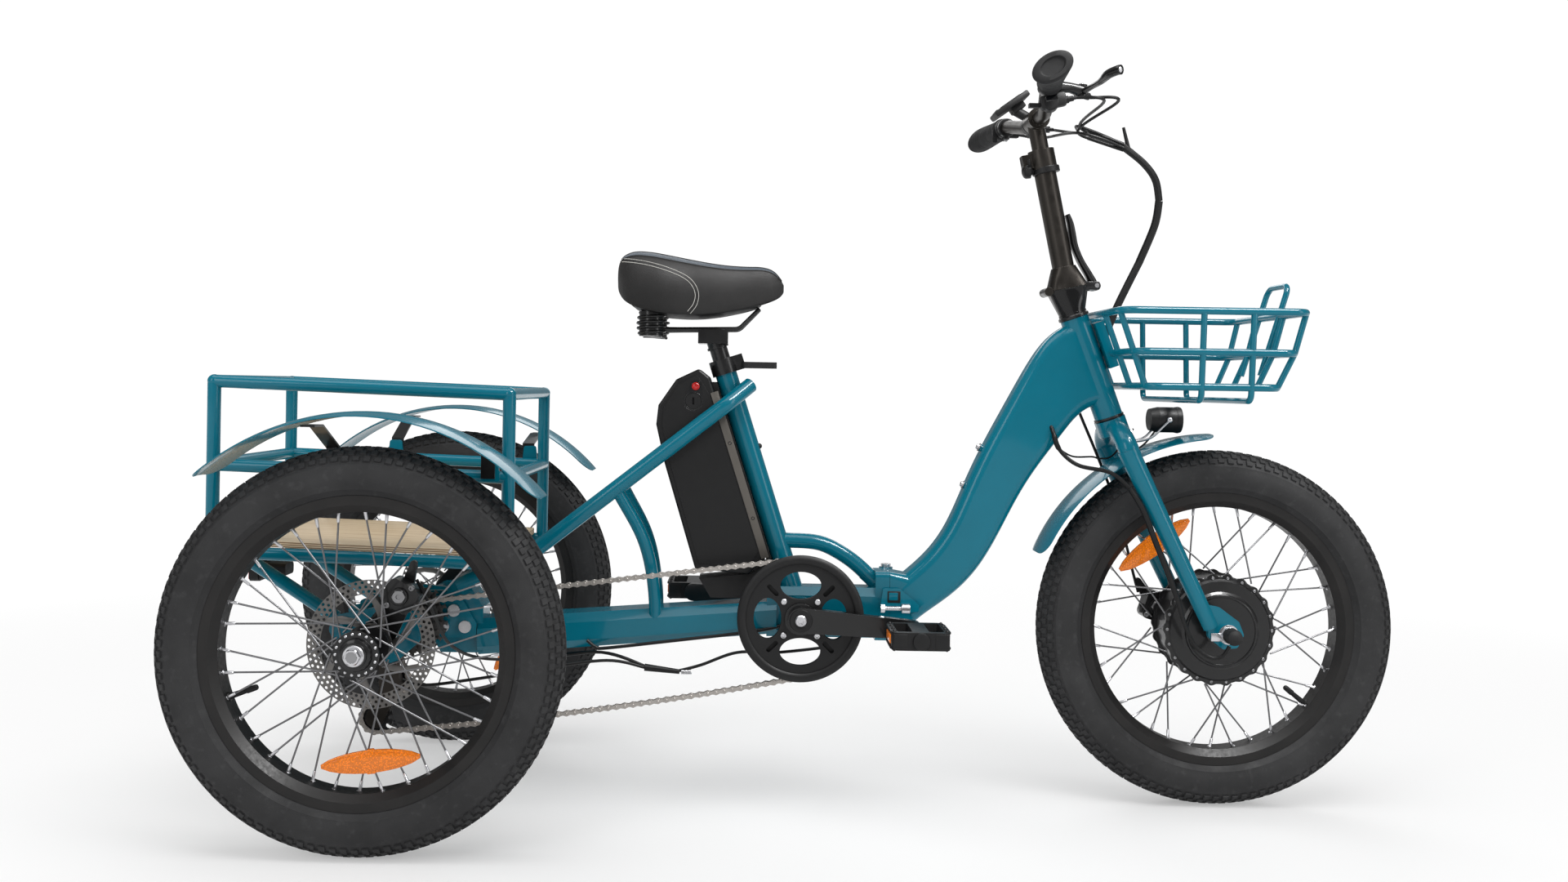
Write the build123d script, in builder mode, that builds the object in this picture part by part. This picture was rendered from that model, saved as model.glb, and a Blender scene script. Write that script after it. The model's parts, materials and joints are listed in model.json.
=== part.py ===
from build123d import *

import os
from math import asin, atan2, cos, degrees, hypot, radians, sin, tan

# Folding electric adult tricycle, in millimetres.
# +X is forward, +Y is the rider's left, +Z is up. The origin is on the ground, in the
# centre plane, midway between the front and rear axles.

# ---- driving dimensions -------------------------------------------------------------

WHEEL_BASE = 1252.0
REAR_TRACK = 608.0
TYRE_RADIUS = 276.5
TYRE_WIDTH = 76.0
CASING_WALL = 5.0
FRONT_AXLE_X = WHEEL_BASE / 2
REAR_AXLE_X = -WHEEL_BASE / 2
AXLE_Z = TYRE_RADIUS
WHEEL_Y = REAR_TRACK / 2
FIT = 0.05                                # radial clearance of a running fit

RIM_EDGE_RADIUS = 211.9
RIM_SEAT_RADIUS = 202.9
RIM_INNER_RADIUS = 189.0
RIM_HALF_WIDTH = 25.5
SPOKE_RADIUS = 1.3
SPOKES_PER_FAMILY = 9                     # four families make 36 spokes

REAR_SHAFT_RADIUS = 8.0
REAR_SHAFT_HALF = 352.0
REAR_HUB_BORE = REAR_SHAFT_RADIUS + FIT
REAR_FLANGE_RADIUS = 31.0
REAR_FLANGE_Y = 26.0
REAR_ROTOR_Y = 257.0
REAR_ROTOR_RADIUS = 90.0
REAR_ROTOR_BORE = 20.0
MOTOR_AXLE_RADIUS = 7.0
MOTOR_FLANGE_RADIUS = 84.0
MOTOR_FLANGE_Y = 31.0
FRONT_ROTOR_Y = 50.0
FRONT_ROTOR_RADIUS = 80.0
FRONT_ROTOR_BORE = 22.0
ROTOR_THICKNESS = 2.0

BRACKET_X = -24.7                         # bottom bracket
BRACKET_Z = 291.7
SEAT_ANGLE = 18.0                         # from the vertical, leaning back
SEAT_TUBE_LENGTH = 412.0
SEAT_TUBE_RADIUS = 17.0
SEAT_POST_RADIUS = 14.0
STAY_RADIUS = 12.0
STAY_Y = 51.0
STAY_BEND = (-448.0, 373.0)
STAY_FOOT = (-550.0, 329.0)
BOOM_REAR_X = -523.0
PLATE_INNER_Y = 28.0
PLATE_OUTER_Y = 35.0
PLATE_GAP = 0.02                            # keeps the bolted plates off the frame
SIDE_PLATE_INNER_Y = 118.0
SIDE_PLATE_OUTER_Y = 125.0
HOUSING_RADIUS = 19.0
HOUSING_END_Y = 244.0

HINGE_X = 115.0
HINGE_PIN_Y = 36.0
HINGE_BOTTOM = 250.0
HINGE_TOP = 357.0
HINGE_HALF_WIDTH = 30.0

HEAD_ANGLE = 20.2                         # from the vertical, leaning back
HEAD_TOP = Vector(401.0, 0, 757.6)
HEAD_LENGTH = 165.0
HEAD_RADIUS = 22.0
HEAD_BORE = 17.0
STEERER_RADIUS = 14.3
FORK_LEG_Y = 68.0

STEM_ANGLE = 11.8
STEM_PIVOT = Vector(357.0, 0, 797.0)
STEM_FOOT = Vector(389.5, 0, 804.0)
STEM_LENGTH = 221.0
STEM_RADIUS = 17.0
STEM_BORE = 13.2
QUILL_RADIUS = STEM_BORE - FIT
BAR_RADIUS = 11.0
BAR_CENTRE = Vector(336.5, 0, 1067.0)
BAR_BEND = Vector(321.0, 150.0, 1085.0)
BAR_END = Vector(307.0, 273.0, 1090.0)

CARRIER_BOLTS = [(-558.5, 288.5), (-575.0, 263.6), (-541.0, 263.6)]
KNUCKLE_RADIUS = 11.0                       # frame hinge

CHAIN_Y = -74.0
CHAIN_PITCH = 12.7
RING_TEETH = 44
COG_TEETH = [13, 15, 17, 19, 22, 25, 28]
COG_SPACING = 5.0
PULLEY_TEETH = 11
GUIDE_CENTRE = (-640.0, 188.0)
TENSION_CENTRE = (-666.0, 130.7)
ROLLER_RADIUS = 3.97
CRANK_LENGTH = 170.0
CRANK_TILT = 4.0
CRANK_ARM_Y = 86.0
PEDAL_AXLE_RADIUS = 6.0

RACK_HALF_WIDTH = 168.7
RACK_FRONT_X = -455.0
RACK_REAR_X = -883.0
RACK_FOOT_X = -498.0                      # cross rail that stands on the frame's stays
RACK_SLOPE = 0.029                        # rise per millimetre towards the rear
RACK_TUBE_RADIUS = 9.5
RACK_TOP_Z = 625.0
RACK_MIDDLE_Z = 504.0
RACK_BOTTOM_Z = 378.0
DECK_THICKNESS = 9.0

FENDER_RADIUS = 324.0
FENDER_HALF_WIDTH = 50.0
FENDER_SHEET = 1.6
FENDER_CROWN = 5.0
STRAP_ANGLES = (63.0, 104.5)

BATTERY_HALF_WIDTH = 38.0
BATTERY_BUTTON = (-190.5, 641.0)
BATTERY_LOCK = (-194.0, 618.0)


# ---- shared geometry ----------------------------------------------------------------

def side_plane(y):
    """Vertical plane at this Y: sketch x is X, sketch y is Z, and it faces the right side."""
    return Plane.XZ.offset(-y)


def section_plane(x, y, z=AXLE_Z):
    """Plane across the tricycle through a point: sketch x is Y, sketch y is Z."""
    return Plane(origin=(x, y, z), x_dir=(0, 1, 0), z_dir=(1, 0, 0))


def cross_axis(x, z=AXLE_Z):
    """Axis along Y through a point of the side view."""
    return Axis((x, 0, z), (0, 1, 0))


def rod(start, end, radius):
    """Straight round bar between two points."""
    line = Vector(*end) - Vector(*start)
    with BuildPart() as bar:
        with BuildSketch(Plane(origin=start, z_dir=line)):
            Circle(radius)
        extrude(amount=line.length)
    return bar.part


def bent_tube(points, radius, bend=30.0, close=False):
    """Round tube along straight runs joined by bends."""
    with BuildPart() as tube:
        with BuildLine() as path:
            FilletPolyline(*points, radius=bend, close=close)
        start = path.line.edges()[0] if close else path.line
        with BuildSketch(Plane(origin=start @ 0, z_dir=start % 0)):
            Circle(radius)
        sweep(path=path.line)
    return tube.part


def curved_tube(points, radius):
    """Round tube along a smooth curve."""
    with BuildPart() as tube:
        with BuildLine() as path:
            Spline(*points)
        with BuildSketch(Plane(origin=path.line @ 0, z_dir=path.line % 0)):
            Circle(radius)
        sweep()
    return tube.part


def side_prism(outline, y_low, y_high, rounding=0.0):
    """Solid between two Y positions with an outline given in the side view."""
    with BuildPart() as prism:
        with BuildSketch(side_plane(y_low)):
            with BuildLine():
                Polyline(*outline, close=True)
            make_face()
            if rounding:
                fillet(vertices(), radius=rounding)
        extrude(amount=y_low - y_high)
    return prism.part


def turned(profile, x, y, z=AXLE_Z):
    """Solid of revolution about Y. Each profile point is (offset along Y, radius)."""
    with BuildPart() as piece:
        with BuildSketch(section_plane(x, y, z)):
            with BuildLine():
                Polyline(*profile, close=True)
            make_face()
        revolve(axis=cross_axis(x, z))
    return piece.part


def cross_cylinder(x, z, y_low, y_high, radius, bore=0.0):
    """Cylinder or tube along Y."""
    with BuildPart() as piece:
        with BuildSketch(side_plane(y_low)):
            with Locations((x, z)):
                Circle(radius)
                if bore:
                    Circle(bore, mode=Mode.SUBTRACT)
        extrude(amount=y_low - y_high)
    return piece.part


def polar(radius, angle):
    return radius * cos(radians(angle)), radius * sin(radians(angle))


def save(piece, name):
    piece.label = name
    export_step(piece, f"parts/{name}.step")


def direction(angle_from_vertical):
    """Unit vector up an axis that leans back by this angle."""
    return Vector(-sin(radians(angle_from_vertical)), 0, cos(radians(angle_from_vertical)))


SEAT_DIR = direction(SEAT_ANGLE)
HEAD_DIR = direction(HEAD_ANGLE)
STEM_DIR = direction(STEM_ANGLE)
BRACKET = Vector(BRACKET_X, 0, BRACKET_Z)
SEAT_TOP = BRACKET + SEAT_DIR * SEAT_TUBE_LENGTH
HEAD_BOTTOM = HEAD_TOP - HEAD_DIR * HEAD_LENGTH


def pitch_radius(teeth):
    return CHAIN_PITCH / (2 * sin(radians(180 / teeth)))


RING_RADIUS = pitch_radius(RING_TEETH)
PULLEY_RADIUS = pitch_radius(PULLEY_TEETH)


def rack_z(level, x):
    """Height of a rack level at this X. The rack rises slightly towards the rear."""
    return level + RACK_SLOPE * (RACK_FRONT_X - x)


# ---- wheels -------------------------------------------------------------------------

def make_tyre(x, y):
    casing_radius = TYRE_WIDTH / 2
    casing_centre = TYRE_RADIUS - casing_radius
    bead_inner = 16.0
    bead_outer = 21.9
    leg_top = RIM_EDGE_RADIUS + 3
    leg_bottom = RIM_SEAT_RADIUS + 0.1
    with BuildPart() as tyre:
        with BuildSketch(section_plane(x, y)):
            with Locations((0, casing_centre)):
                Circle(casing_radius)
                Circle(casing_radius - CASING_WALL, mode=Mode.SUBTRACT)
            with Locations((0, leg_bottom)):
                Rectangle(TYRE_WIDTH, 2 * (RIM_EDGE_RADIUS + 0.2 - leg_bottom), mode=Mode.SUBTRACT)
            with Locations((0, (leg_bottom + leg_top) / 2)):
                with GridLocations(bead_inner + bead_outer, 0, 2, 1):
                    Rectangle(bead_outer - bead_inner, leg_top - leg_bottom)
        revolve(axis=cross_axis(x))
    return tyre.part


def make_spoke_families(flange_radius, flange_y, sweep_angle):
    """One spoke of each of the four lacing directions, in the wheel's own frame."""
    families = []
    rim_angle = 0.0
    for side in (1, -1):
        for twist in (1, -1):
            hub = polar(flange_radius + 3.0, rim_angle - twist * sweep_angle)
            rim = polar(RIM_INNER_RADIUS - 0.6, rim_angle)
            hub_y = side * (flange_y + 1.6 * twist)
            rim_y = side * (4.0 + 1.6 * twist)
            families.append(rod((*hub, hub_y), (*rim, rim_y), SPOKE_RADIUS))
            rim_angle += 360 / (SPOKES_PER_FAMILY * 2)
        rim_angle = 360 / (SPOKES_PER_FAMILY * 4)
    return families


def make_laced_rim(x, y, flange_radius, flange_y, sweep_angle):
    """Drop-centre rim and its 36 separate spokes."""
    families = make_spoke_families(flange_radius, flange_y, sweep_angle)
    half_profile = [
        (RIM_HALF_WIDTH, RIM_EDGE_RADIUS), (22.0, RIM_EDGE_RADIUS), (22.0, RIM_SEAT_RADIUS),
        (12.0, RIM_SEAT_RADIUS), (8.0, RIM_SEAT_RADIUS - 9),
    ]
    outer_profile = [(15.0, RIM_INNER_RADIUS), (RIM_HALF_WIDTH, RIM_INNER_RADIUS + 10)]
    flipped = [(-a, r) for a, r in reversed(half_profile)]
    flipped_outer = [(-a, r) for a, r in reversed(outer_profile)]
    with BuildPart(Plane(origin=(x, y, AXLE_Z), x_dir=(1, 0, 0), z_dir=(0, -1, 0))) as laced_rim:
        with BuildSketch(section_plane(x, y)):
            with BuildLine():
                Polyline(*half_profile, *flipped, *flipped_outer, *outer_profile, close=True)
            make_face()
        revolve(axis=cross_axis(x))
        with PolarLocations(0, SPOKES_PER_FAMILY):
            add(families)
    return laced_rim.part


def make_rotor(x, y, radius, bore):
    """Brake rotor: a slotted ring on six arms."""
    ring_width = 17.0
    arm_length = radius - ring_width - bore
    with BuildPart() as rotor:
        with BuildSketch(Plane(origin=(x, y, AXLE_Z), x_dir=(1, 0, 0), z_dir=(0, -1, 0))):
            Circle(radius)
            Circle(radius - ring_width, mode=Mode.SUBTRACT)
            Circle(bore + 8)
            with PolarLocations(bore + arm_length / 2, 6):
                Rectangle(arm_length + 12, 9, rotation=18)
            Circle(bore + FIT, mode=Mode.SUBTRACT)
            with PolarLocations(radius - 6, 24):
                Circle(2.2, mode=Mode.SUBTRACT)
            with PolarLocations(radius - 12, 24, start_angle=7.5):
                Circle(2.2, mode=Mode.SUBTRACT)
        extrude(amount=ROTOR_THICKNESS / 2, both=True)
    return rotor.part


def make_rear_hub(side):
    """Rear hub; side is -1 on the right and 1 on the left. Its rotor seat faces the frame."""
    rotor_seat = WHEEL_Y - REAR_ROTOR_Y
    shell = 17.0
    edge = REAR_FLANGE_Y + 1.75
    inner = REAR_FLANGE_Y - 1.75
    profile = [
        (rotor_seat + 4, REAR_HUB_BORE), (rotor_seat + 4, REAR_ROTOR_BORE),
        (rotor_seat - 1, REAR_ROTOR_BORE), (rotor_seat - 1, 27.0), (rotor_seat - 5, 27.0),
        (rotor_seat - 9, shell), (edge, shell), (edge, REAR_FLANGE_RADIUS),
        (inner, REAR_FLANGE_RADIUS), (inner, shell), (-inner, shell),
        (-inner, REAR_FLANGE_RADIUS), (-edge, REAR_FLANGE_RADIUS), (-edge, shell + 6),
        (-34.0, shell + 4), (-38.0, 13.0), (-38.0, REAR_HUB_BORE),
    ]
    return turned([(-side * offset, radius) for offset, radius in profile], REAR_AXLE_X,
                  side * WHEEL_Y)


def make_rear_axle():
    """Through shaft with a hexagon nut at each end."""
    nut_thickness = 8.0
    nut_plane_y = REAR_SHAFT_HALF - nut_thickness - 1
    with BuildPart() as shaft:
        with BuildSketch(side_plane(REAR_SHAFT_HALF)):
            with Locations((REAR_AXLE_X, AXLE_Z)):
                Circle(REAR_SHAFT_RADIUS)
        extrude(amount=2 * REAR_SHAFT_HALF)
        with BuildSketch(side_plane(-nut_plane_y)):
            with Locations((REAR_AXLE_X, AXLE_Z)):
                RegularPolygon(10.5, 6)
        extrude(amount=nut_thickness)
        mirror(about=Plane.XZ)
    return shaft.part


def make_front_motor():
    """Hub motor casing with spoke flanges, side covers and a rotor seat on the left."""
    bore = MOTOR_AXLE_RADIUS + FIT
    profile = [
        (-46, bore), (-46, 20), (-43, 24), (-43, 53), (-38, 60), (-37, 76), (-33, 79.5),
        (-32.5, MOTOR_FLANGE_RADIUS), (-29.5, MOTOR_FLANGE_RADIUS), (-29, 80), (29, 80),
        (29.5, MOTOR_FLANGE_RADIUS), (32.5, MOTOR_FLANGE_RADIUS), (33, 79.5), (37, 76),
        (38, 60), (43, 53), (43, 32), (FRONT_ROTOR_Y - 1, 31), (FRONT_ROTOR_Y - 1, FRONT_ROTOR_BORE),
        (FRONT_ROTOR_Y + 3, FRONT_ROTOR_BORE), (FRONT_ROTOR_Y + 3, bore),
    ]
    return turned(profile, FRONT_AXLE_X, 0)


def make_front_axle():
    """Fixed motor axle with its nuts and the rubber cap on the right."""
    washer_y = FORK_LEG_Y + 5.1
    with BuildPart() as axle:
        add(cross_cylinder(FRONT_AXLE_X, AXLE_Z, -84, 84, MOTOR_AXLE_RADIUS))
        for side in (1, -1):
            with BuildSketch(side_plane(side * washer_y)):
                with Locations((FRONT_AXLE_X, AXLE_Z)):
                    RegularPolygon(12.0, 6)
            extrude(amount=-side * 9)
        add(cross_cylinder(FRONT_AXLE_X, AXLE_Z, -92, -82, 9.5))
    return axle.part


# ---- rear frame ---------------------------------------------------------------------

def make_rear_frame():
    seat_tube = rod(BRACKET, SEAT_TOP, SEAT_TUBE_RADIUS)
    gusset = curved_tube([(-55, 0, 402), (-38, 0, 401), (12, 0, 396), (32, 0, 387),
                          (61.5, 0, 368), (88, 0, 344), (101, 0, 331)], 12.0)
    stays = [bent_tube([(-106, side * 20, 644), (-142, side * STAY_Y, 614),
                        (STAY_BEND[0], side * STAY_Y, STAY_BEND[1]),
                        (STAY_FOOT[0], side * STAY_Y, STAY_FOOT[1])],
                       STAY_RADIUS) for side in (1, -1)]
    braces = [curved_tube([(-310.5, side * 50, 484), (-302, side * 48, 468),
                           (-270, side * 40, 409), (-252, side * 32, 338),
                           (-248, side * 27, 282)], 9.5)
              for side in (1, -1)]
    end_block = side_prism([(BOOM_REAR_X + 8, 222), (BOOM_REAR_X + 8, 292), (-534, 322),
                            (-566, 322), (-596, 296), (-596, 250), (-580, 222)],
                           -PLATE_INNER_Y, PLATE_INNER_Y)
    stay_bridge = cross_cylinder(*STAY_FOOT, -STAY_Y, STAY_Y, STAY_RADIUS)
    bolts = [cross_cylinder(x, z, -PLATE_INNER_Y - 1, PLATE_INNER_Y + 1, 5.1)
             for x, z in CARRIER_BOLTS]
    with BuildPart() as rear_frame:
        with BuildSketch(section_plane(BOOM_REAR_X, 0, 246)) as boom_rear:
            Rectangle(70, 56)
            chamfer(boom_rear.vertices(), length=14)
        with BuildSketch(section_plane(-60, 0, 284)) as boom_front:
            Rectangle(74, 50)
            chamfer(boom_front.vertices(), length=12)
        loft()
        with BuildSketch(section_plane(-75, 0, 292)) as lower_tube:
            Rectangle(60, 78)
            chamfer(lower_tube.vertices(), length=12)
        extrude(amount=75 + 95)
        with BuildSketch(section_plane(93, 0, (HINGE_TOP + HINGE_BOTTOM) / 2)) as hinge_block:
            Rectangle(2 * HINGE_HALF_WIDTH, HINGE_TOP - HINGE_BOTTOM)
            fillet(hinge_block.vertices(), radius=8)
        extrude(amount=HINGE_X - 0.15 - 93)
        add(seat_tube)
        add(gusset)
        add(stays)
        add(braces)
        add(end_block)
        add(stay_bridge)
        add(cross_cylinder(BRACKET_X, BRACKET_Z, -42, 42, 26))
        add(hinge_knuckles((HINGE_BOTTOM, HINGE_BOTTOM + 25), (HINGE_TOP - 25, HINGE_TOP)))
        add(hinge_cutter(HINGE_BOTTOM + 25, HINGE_TOP - 25), mode=Mode.SUBTRACT)
        add(rod(SEAT_TOP - SEAT_DIR * 250, SEAT_TOP + SEAT_DIR * 5, SEAT_POST_RADIUS + FIT),
            mode=Mode.SUBTRACT)
        add(cross_cylinder(BRACKET_X, BRACKET_Z, -45, 45, 17), mode=Mode.SUBTRACT)
        add(bolts, mode=Mode.SUBTRACT)
        add(rod((HINGE_X, HINGE_PIN_Y, HINGE_BOTTOM - 5), (HINGE_X, HINGE_PIN_Y, HINGE_TOP + 5),
                5.0 + FIT), mode=Mode.SUBTRACT)
    return rear_frame.part




def hinge_knuckles(*spans):
    """Upright knuckles round the frame hinge's pin, one for each (low, high) span."""
    knuckles = []
    for low, high in spans:
        knuckles.append(rod((HINGE_X, HINGE_PIN_Y, low), (HINGE_X, HINGE_PIN_Y, high),
                            KNUCKLE_RADIUS))
    return knuckles


def hinge_cutter(low, high):
    """Room in a block for the other half's knuckle."""
    return rod((HINGE_X, HINGE_PIN_Y, low - 0.3), (HINGE_X, HINGE_PIN_Y, high + 0.3),
               KNUCKLE_RADIUS + 0.5)


def make_axle_carrier():
    """Bolted subframe that holds the rear axle."""
    plate_outline = [(-524, 245), (-524, 268), (-545, 304), (-566, 309), (-604, 309),
                     (-655, 306), (-722, 292), (-722, 262), (-640, 245)]
    side_outline = [(-590, 256), (-590, 300), (-655, 306), (-722, 292), (-722, 262),
                    (-655, 222), (-628, 222)]
    plates = []
    for side in (1, -1):
        inner = sorted((side * (PLATE_INNER_Y + PLATE_GAP), side * PLATE_OUTER_Y))
        outer = sorted((side * SIDE_PLATE_INNER_Y, side * SIDE_PLATE_OUTER_Y))
        plates.append(side_prism(plate_outline, *inner, 6))
        plates.append(side_prism(side_outline, *outer, 6))
    housings = [cross_cylinder(REAR_AXLE_X, AXLE_Z, *span, HOUSING_RADIUS)
                for span in ((-HOUSING_END_Y, -SIDE_PLATE_INNER_Y),
                             (SIDE_PLATE_INNER_Y, HOUSING_END_Y))]
    with BuildPart() as carrier:
        add(plates)
        add(housings)
        add(cross_cylinder(-706, 277, -150, 150, 11))
        add(cross_cylinder(REAR_AXLE_X, AXLE_Z, -250, 250, 14), mode=Mode.SUBTRACT)
        for x, z in CARRIER_BOLTS:
            add(cross_cylinder(x, z, -40, 40, 5.1), mode=Mode.SUBTRACT)
    return carrier.part


def make_bearings():
    """Bottom bracket cups and the rear axle's ball bearings."""
    ring = 14.0 - 0.02
    with BuildPart() as bearings:
        add(cross_cylinder(BRACKET_X, BRACKET_Z, -44, -32, 16.95, SPINDLE_RADIUS + FIT))
        add(cross_cylinder(REAR_AXLE_X, AXLE_Z, -35, -28, ring, REAR_SHAFT_RADIUS + FIT))
        add(cross_cylinder(REAR_AXLE_X, AXLE_Z, -243, -231, ring, REAR_SHAFT_RADIUS + FIT))
        mirror(about=Plane.XZ)
    return bearings.part


SPINDLE_RADIUS = 9.0


def make_bolts():
    """Carrier through bolts, the frame hinge's pin and the rack stay bolts."""
    head_radius = 9.5
    with BuildPart() as bolts:
        for x, z in CARRIER_BOLTS:
            add(cross_cylinder(x, z, -40, 40, 5.0))
            add(cross_cylinder(x, z, -PLATE_OUTER_Y - 5, -PLATE_OUTER_Y - 0.05, head_radius, 4))
            add(cross_cylinder(x, z, PLATE_OUTER_Y + 0.05, PLATE_OUTER_Y + 5, head_radius, 4))
        add(rod((HINGE_X, HINGE_PIN_Y, HINGE_BOTTOM), (HINGE_X, HINGE_PIN_Y, HINGE_TOP), 5.0))
        add(rod((HINGE_X, HINGE_PIN_Y, HINGE_TOP + 0.1), (HINGE_X, HINGE_PIN_Y, HINGE_TOP + 5),
                8.0))
        add(rod((HINGE_X, HINGE_PIN_Y, HINGE_TOP - 1), (HINGE_X, HINGE_PIN_Y, HINGE_TOP + 2), 5.0))
    return bolts.part


def make_seat_collar():
    """Split clamp ring round the top of the seat tube."""
    low = SEAT_TOP - SEAT_DIR * 24
    with BuildPart() as collar:
        with BuildSketch(Plane(origin=low, x_dir=(0, 1, 0), z_dir=SEAT_DIR)):
            Circle(21.0)
            with Locations((0, -24)):
                Rectangle(20, 18)
            Circle(SEAT_TUBE_RADIUS + FIT, mode=Mode.SUBTRACT)
            with Locations((0, -26)):
                Rectangle(3, 26, mode=Mode.SUBTRACT)
        extrude(amount=24)
    return collar.part


# ---- rack, deck and fenders ---------------------------------------------------------

def rack_rails(level):
    """The four rails of one level: two along the sides and two across."""
    front_z, rear_z = rack_z(level, RACK_FRONT_X), rack_z(level, RACK_REAR_X)
    rails = []
    for side in (1, -1):
        y = side * RACK_HALF_WIDTH
        rails.append(rod((RACK_FRONT_X, y, front_z), (RACK_REAR_X, y, rear_z),
                         RACK_TUBE_RADIUS - 0.2))
    front_x = RACK_FRONT_X if level > RACK_BOTTOM_Z else RACK_FOOT_X
    for x, z in ((front_x, rack_z(level, front_x)), (RACK_REAR_X, rear_z)):
        rails.append(rod((x, -RACK_HALF_WIDTH, z), (x, RACK_HALF_WIDTH, z),
                         RACK_TUBE_RADIUS - 0.4))
    return rails


def make_cargo_rack():
    levels = (RACK_TOP_Z, RACK_MIDDLE_Z, RACK_BOTTOM_Z)
    posts = []
    knobs = []
    for x in (RACK_FRONT_X, RACK_REAR_X):
        for side in (1, -1):
            y = side * RACK_HALF_WIDTH
            posts.append(rod((x, y, rack_z(RACK_BOTTOM_Z, x)), (x, y, rack_z(RACK_TOP_Z, x)),
                             RACK_TUBE_RADIUS))
            knobs += [(x, y, rack_z(level, x)) for level in (RACK_TOP_Z, RACK_BOTTOM_Z)]
    bars = [rod((x, -RACK_HALF_WIDTH, rack_z(RACK_BOTTOM_Z, x)),
                (x, RACK_HALF_WIDTH, rack_z(RACK_BOTTOM_Z, x)), 8.0) for x in (-560, -670, -780)]
    stays = [rod((RACK_REAR_X, side * 105, rack_z(RACK_BOTTOM_Z, RACK_REAR_X)),
                 (-719.5, side * 105, 286.5), 10.0) for side in (1, -1)]
    tabs = []
    for angle in STRAP_ANGLES:
        x = REAR_AXLE_X + polar(FENDER_RADIUS, angle)[0]
        z = rack_z(RACK_MIDDLE_Z, x)
        outline = [(x - 14, z - 6), (x + 14, z - 6), (x + 10, z + 30), (x - 10, z + 30)]
        tabs += [side_prism(outline, -RACK_HALF_WIDTH - 11, -RACK_HALF_WIDTH - 7, 4),
                 side_prism(outline, RACK_HALF_WIDTH + 7, RACK_HALF_WIDTH + 11, 4)]
    with BuildPart() as rack:
        with Locations(*knobs):
            Sphere(RACK_TUBE_RADIUS + 0.3)
        for post in posts:
            add(post)
        for level in levels:
            for rail in rack_rails(level):
                add(rail)
        for bar in bars + stays + tabs:
            add(bar)
        foot_z = rack_z(RACK_BOTTOM_Z, RACK_FOOT_X)
        with Locations((RACK_FOOT_X, -STAY_Y, foot_z - 10), (RACK_FOOT_X, STAY_Y, foot_z - 10)):
            Box(22, 14, 16)
        for side in (1, -1):
            add(rod((STAY_BEND[0], side * STAY_Y, STAY_BEND[1]),
                    (STAY_FOOT[0], side * STAY_Y, STAY_FOOT[1]), STAY_RADIUS + FIT),
                mode=Mode.SUBTRACT)
    return rack.part


def make_cargo_deck():
    length = RACK_FRONT_X - RACK_REAR_X - 2 * RACK_TUBE_RADIUS - 4
    middle_x = (RACK_FRONT_X + RACK_REAR_X) / 2
    level = RACK_BOTTOM_Z + RACK_TUBE_RADIUS + 0.1
    half_width = RACK_HALF_WIDTH - 2
    with BuildPart() as deck:
        with BuildSketch(side_plane(half_width)):
            with BuildLine():
                Polyline(*[(x, rack_z(level + rise, x)) for x, rise in (
                    (middle_x - length / 2, 0), (middle_x + length / 2, 0),
                    (middle_x + length / 2, DECK_THICKNESS),
                    (middle_x - length / 2, DECK_THICKNESS))], close=True)
            make_face()
        extrude(amount=2 * half_width)
        fillet(deck.edges().filter_by(lambda e: abs(e.length - DECK_THICKNESS) < 0.1), radius=12)
    return deck.part


def fender_arc(x, y, radius, half_width, crown, first, last):
    """Thin crowned sheet round a wheel between two angles from straight ahead."""
    edge = radius - crown
    corner = half_width * 0.6
    run = Plane(origin=(x, y, AXLE_Z), x_dir=(0, 1, 0),
                z_dir=(sin(radians(first)), 0, -cos(radians(first))))
    with BuildPart() as fender:
        with BuildSketch(run):
            with BuildLine():
                ThreePointArc((-half_width, edge), (0, radius), (half_width, edge))
                Line((half_width, edge), (half_width, edge - FENDER_SHEET))
                ThreePointArc((half_width, edge - FENDER_SHEET), (0, radius - FENDER_SHEET),
                              (-half_width, edge - FENDER_SHEET))
                Line((-half_width, edge - FENDER_SHEET), (-half_width, edge))
            make_face()
        revolve(axis=Axis((x, 0, AXLE_Z), (0, -1, 0)), revolution_arc=last - first)
        for angle, inward in ((first, 1), (last, -1)):
            dx, dz = polar(radius, angle)
            with BuildSketch(Plane(origin=(x + dx, y, AXLE_Z + dz), x_dir=(0, 1, 0),
                                   z_dir=(dx, 0, dz))):
                Rectangle(2 * half_width + 20, 2 * corner)
                with Locations((0, inward * 3 * corner)):
                    RectangleRounded(2 * half_width + 0.2, 6 * corner, corner,
                                     mode=Mode.SUBTRACT)
            extrude(amount=25, both=True, mode=Mode.SUBTRACT)
    return fender.part


def make_rear_fenders():
    fender = fender_arc(REAR_AXLE_X, -WHEEL_Y, FENDER_RADIUS, FENDER_HALF_WIDTH, FENDER_CROWN,
                        41.0, 133.5)
    with BuildPart() as fenders:
        add(fender)
        mirror(about=Plane.XZ)
    return fenders.part


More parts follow.
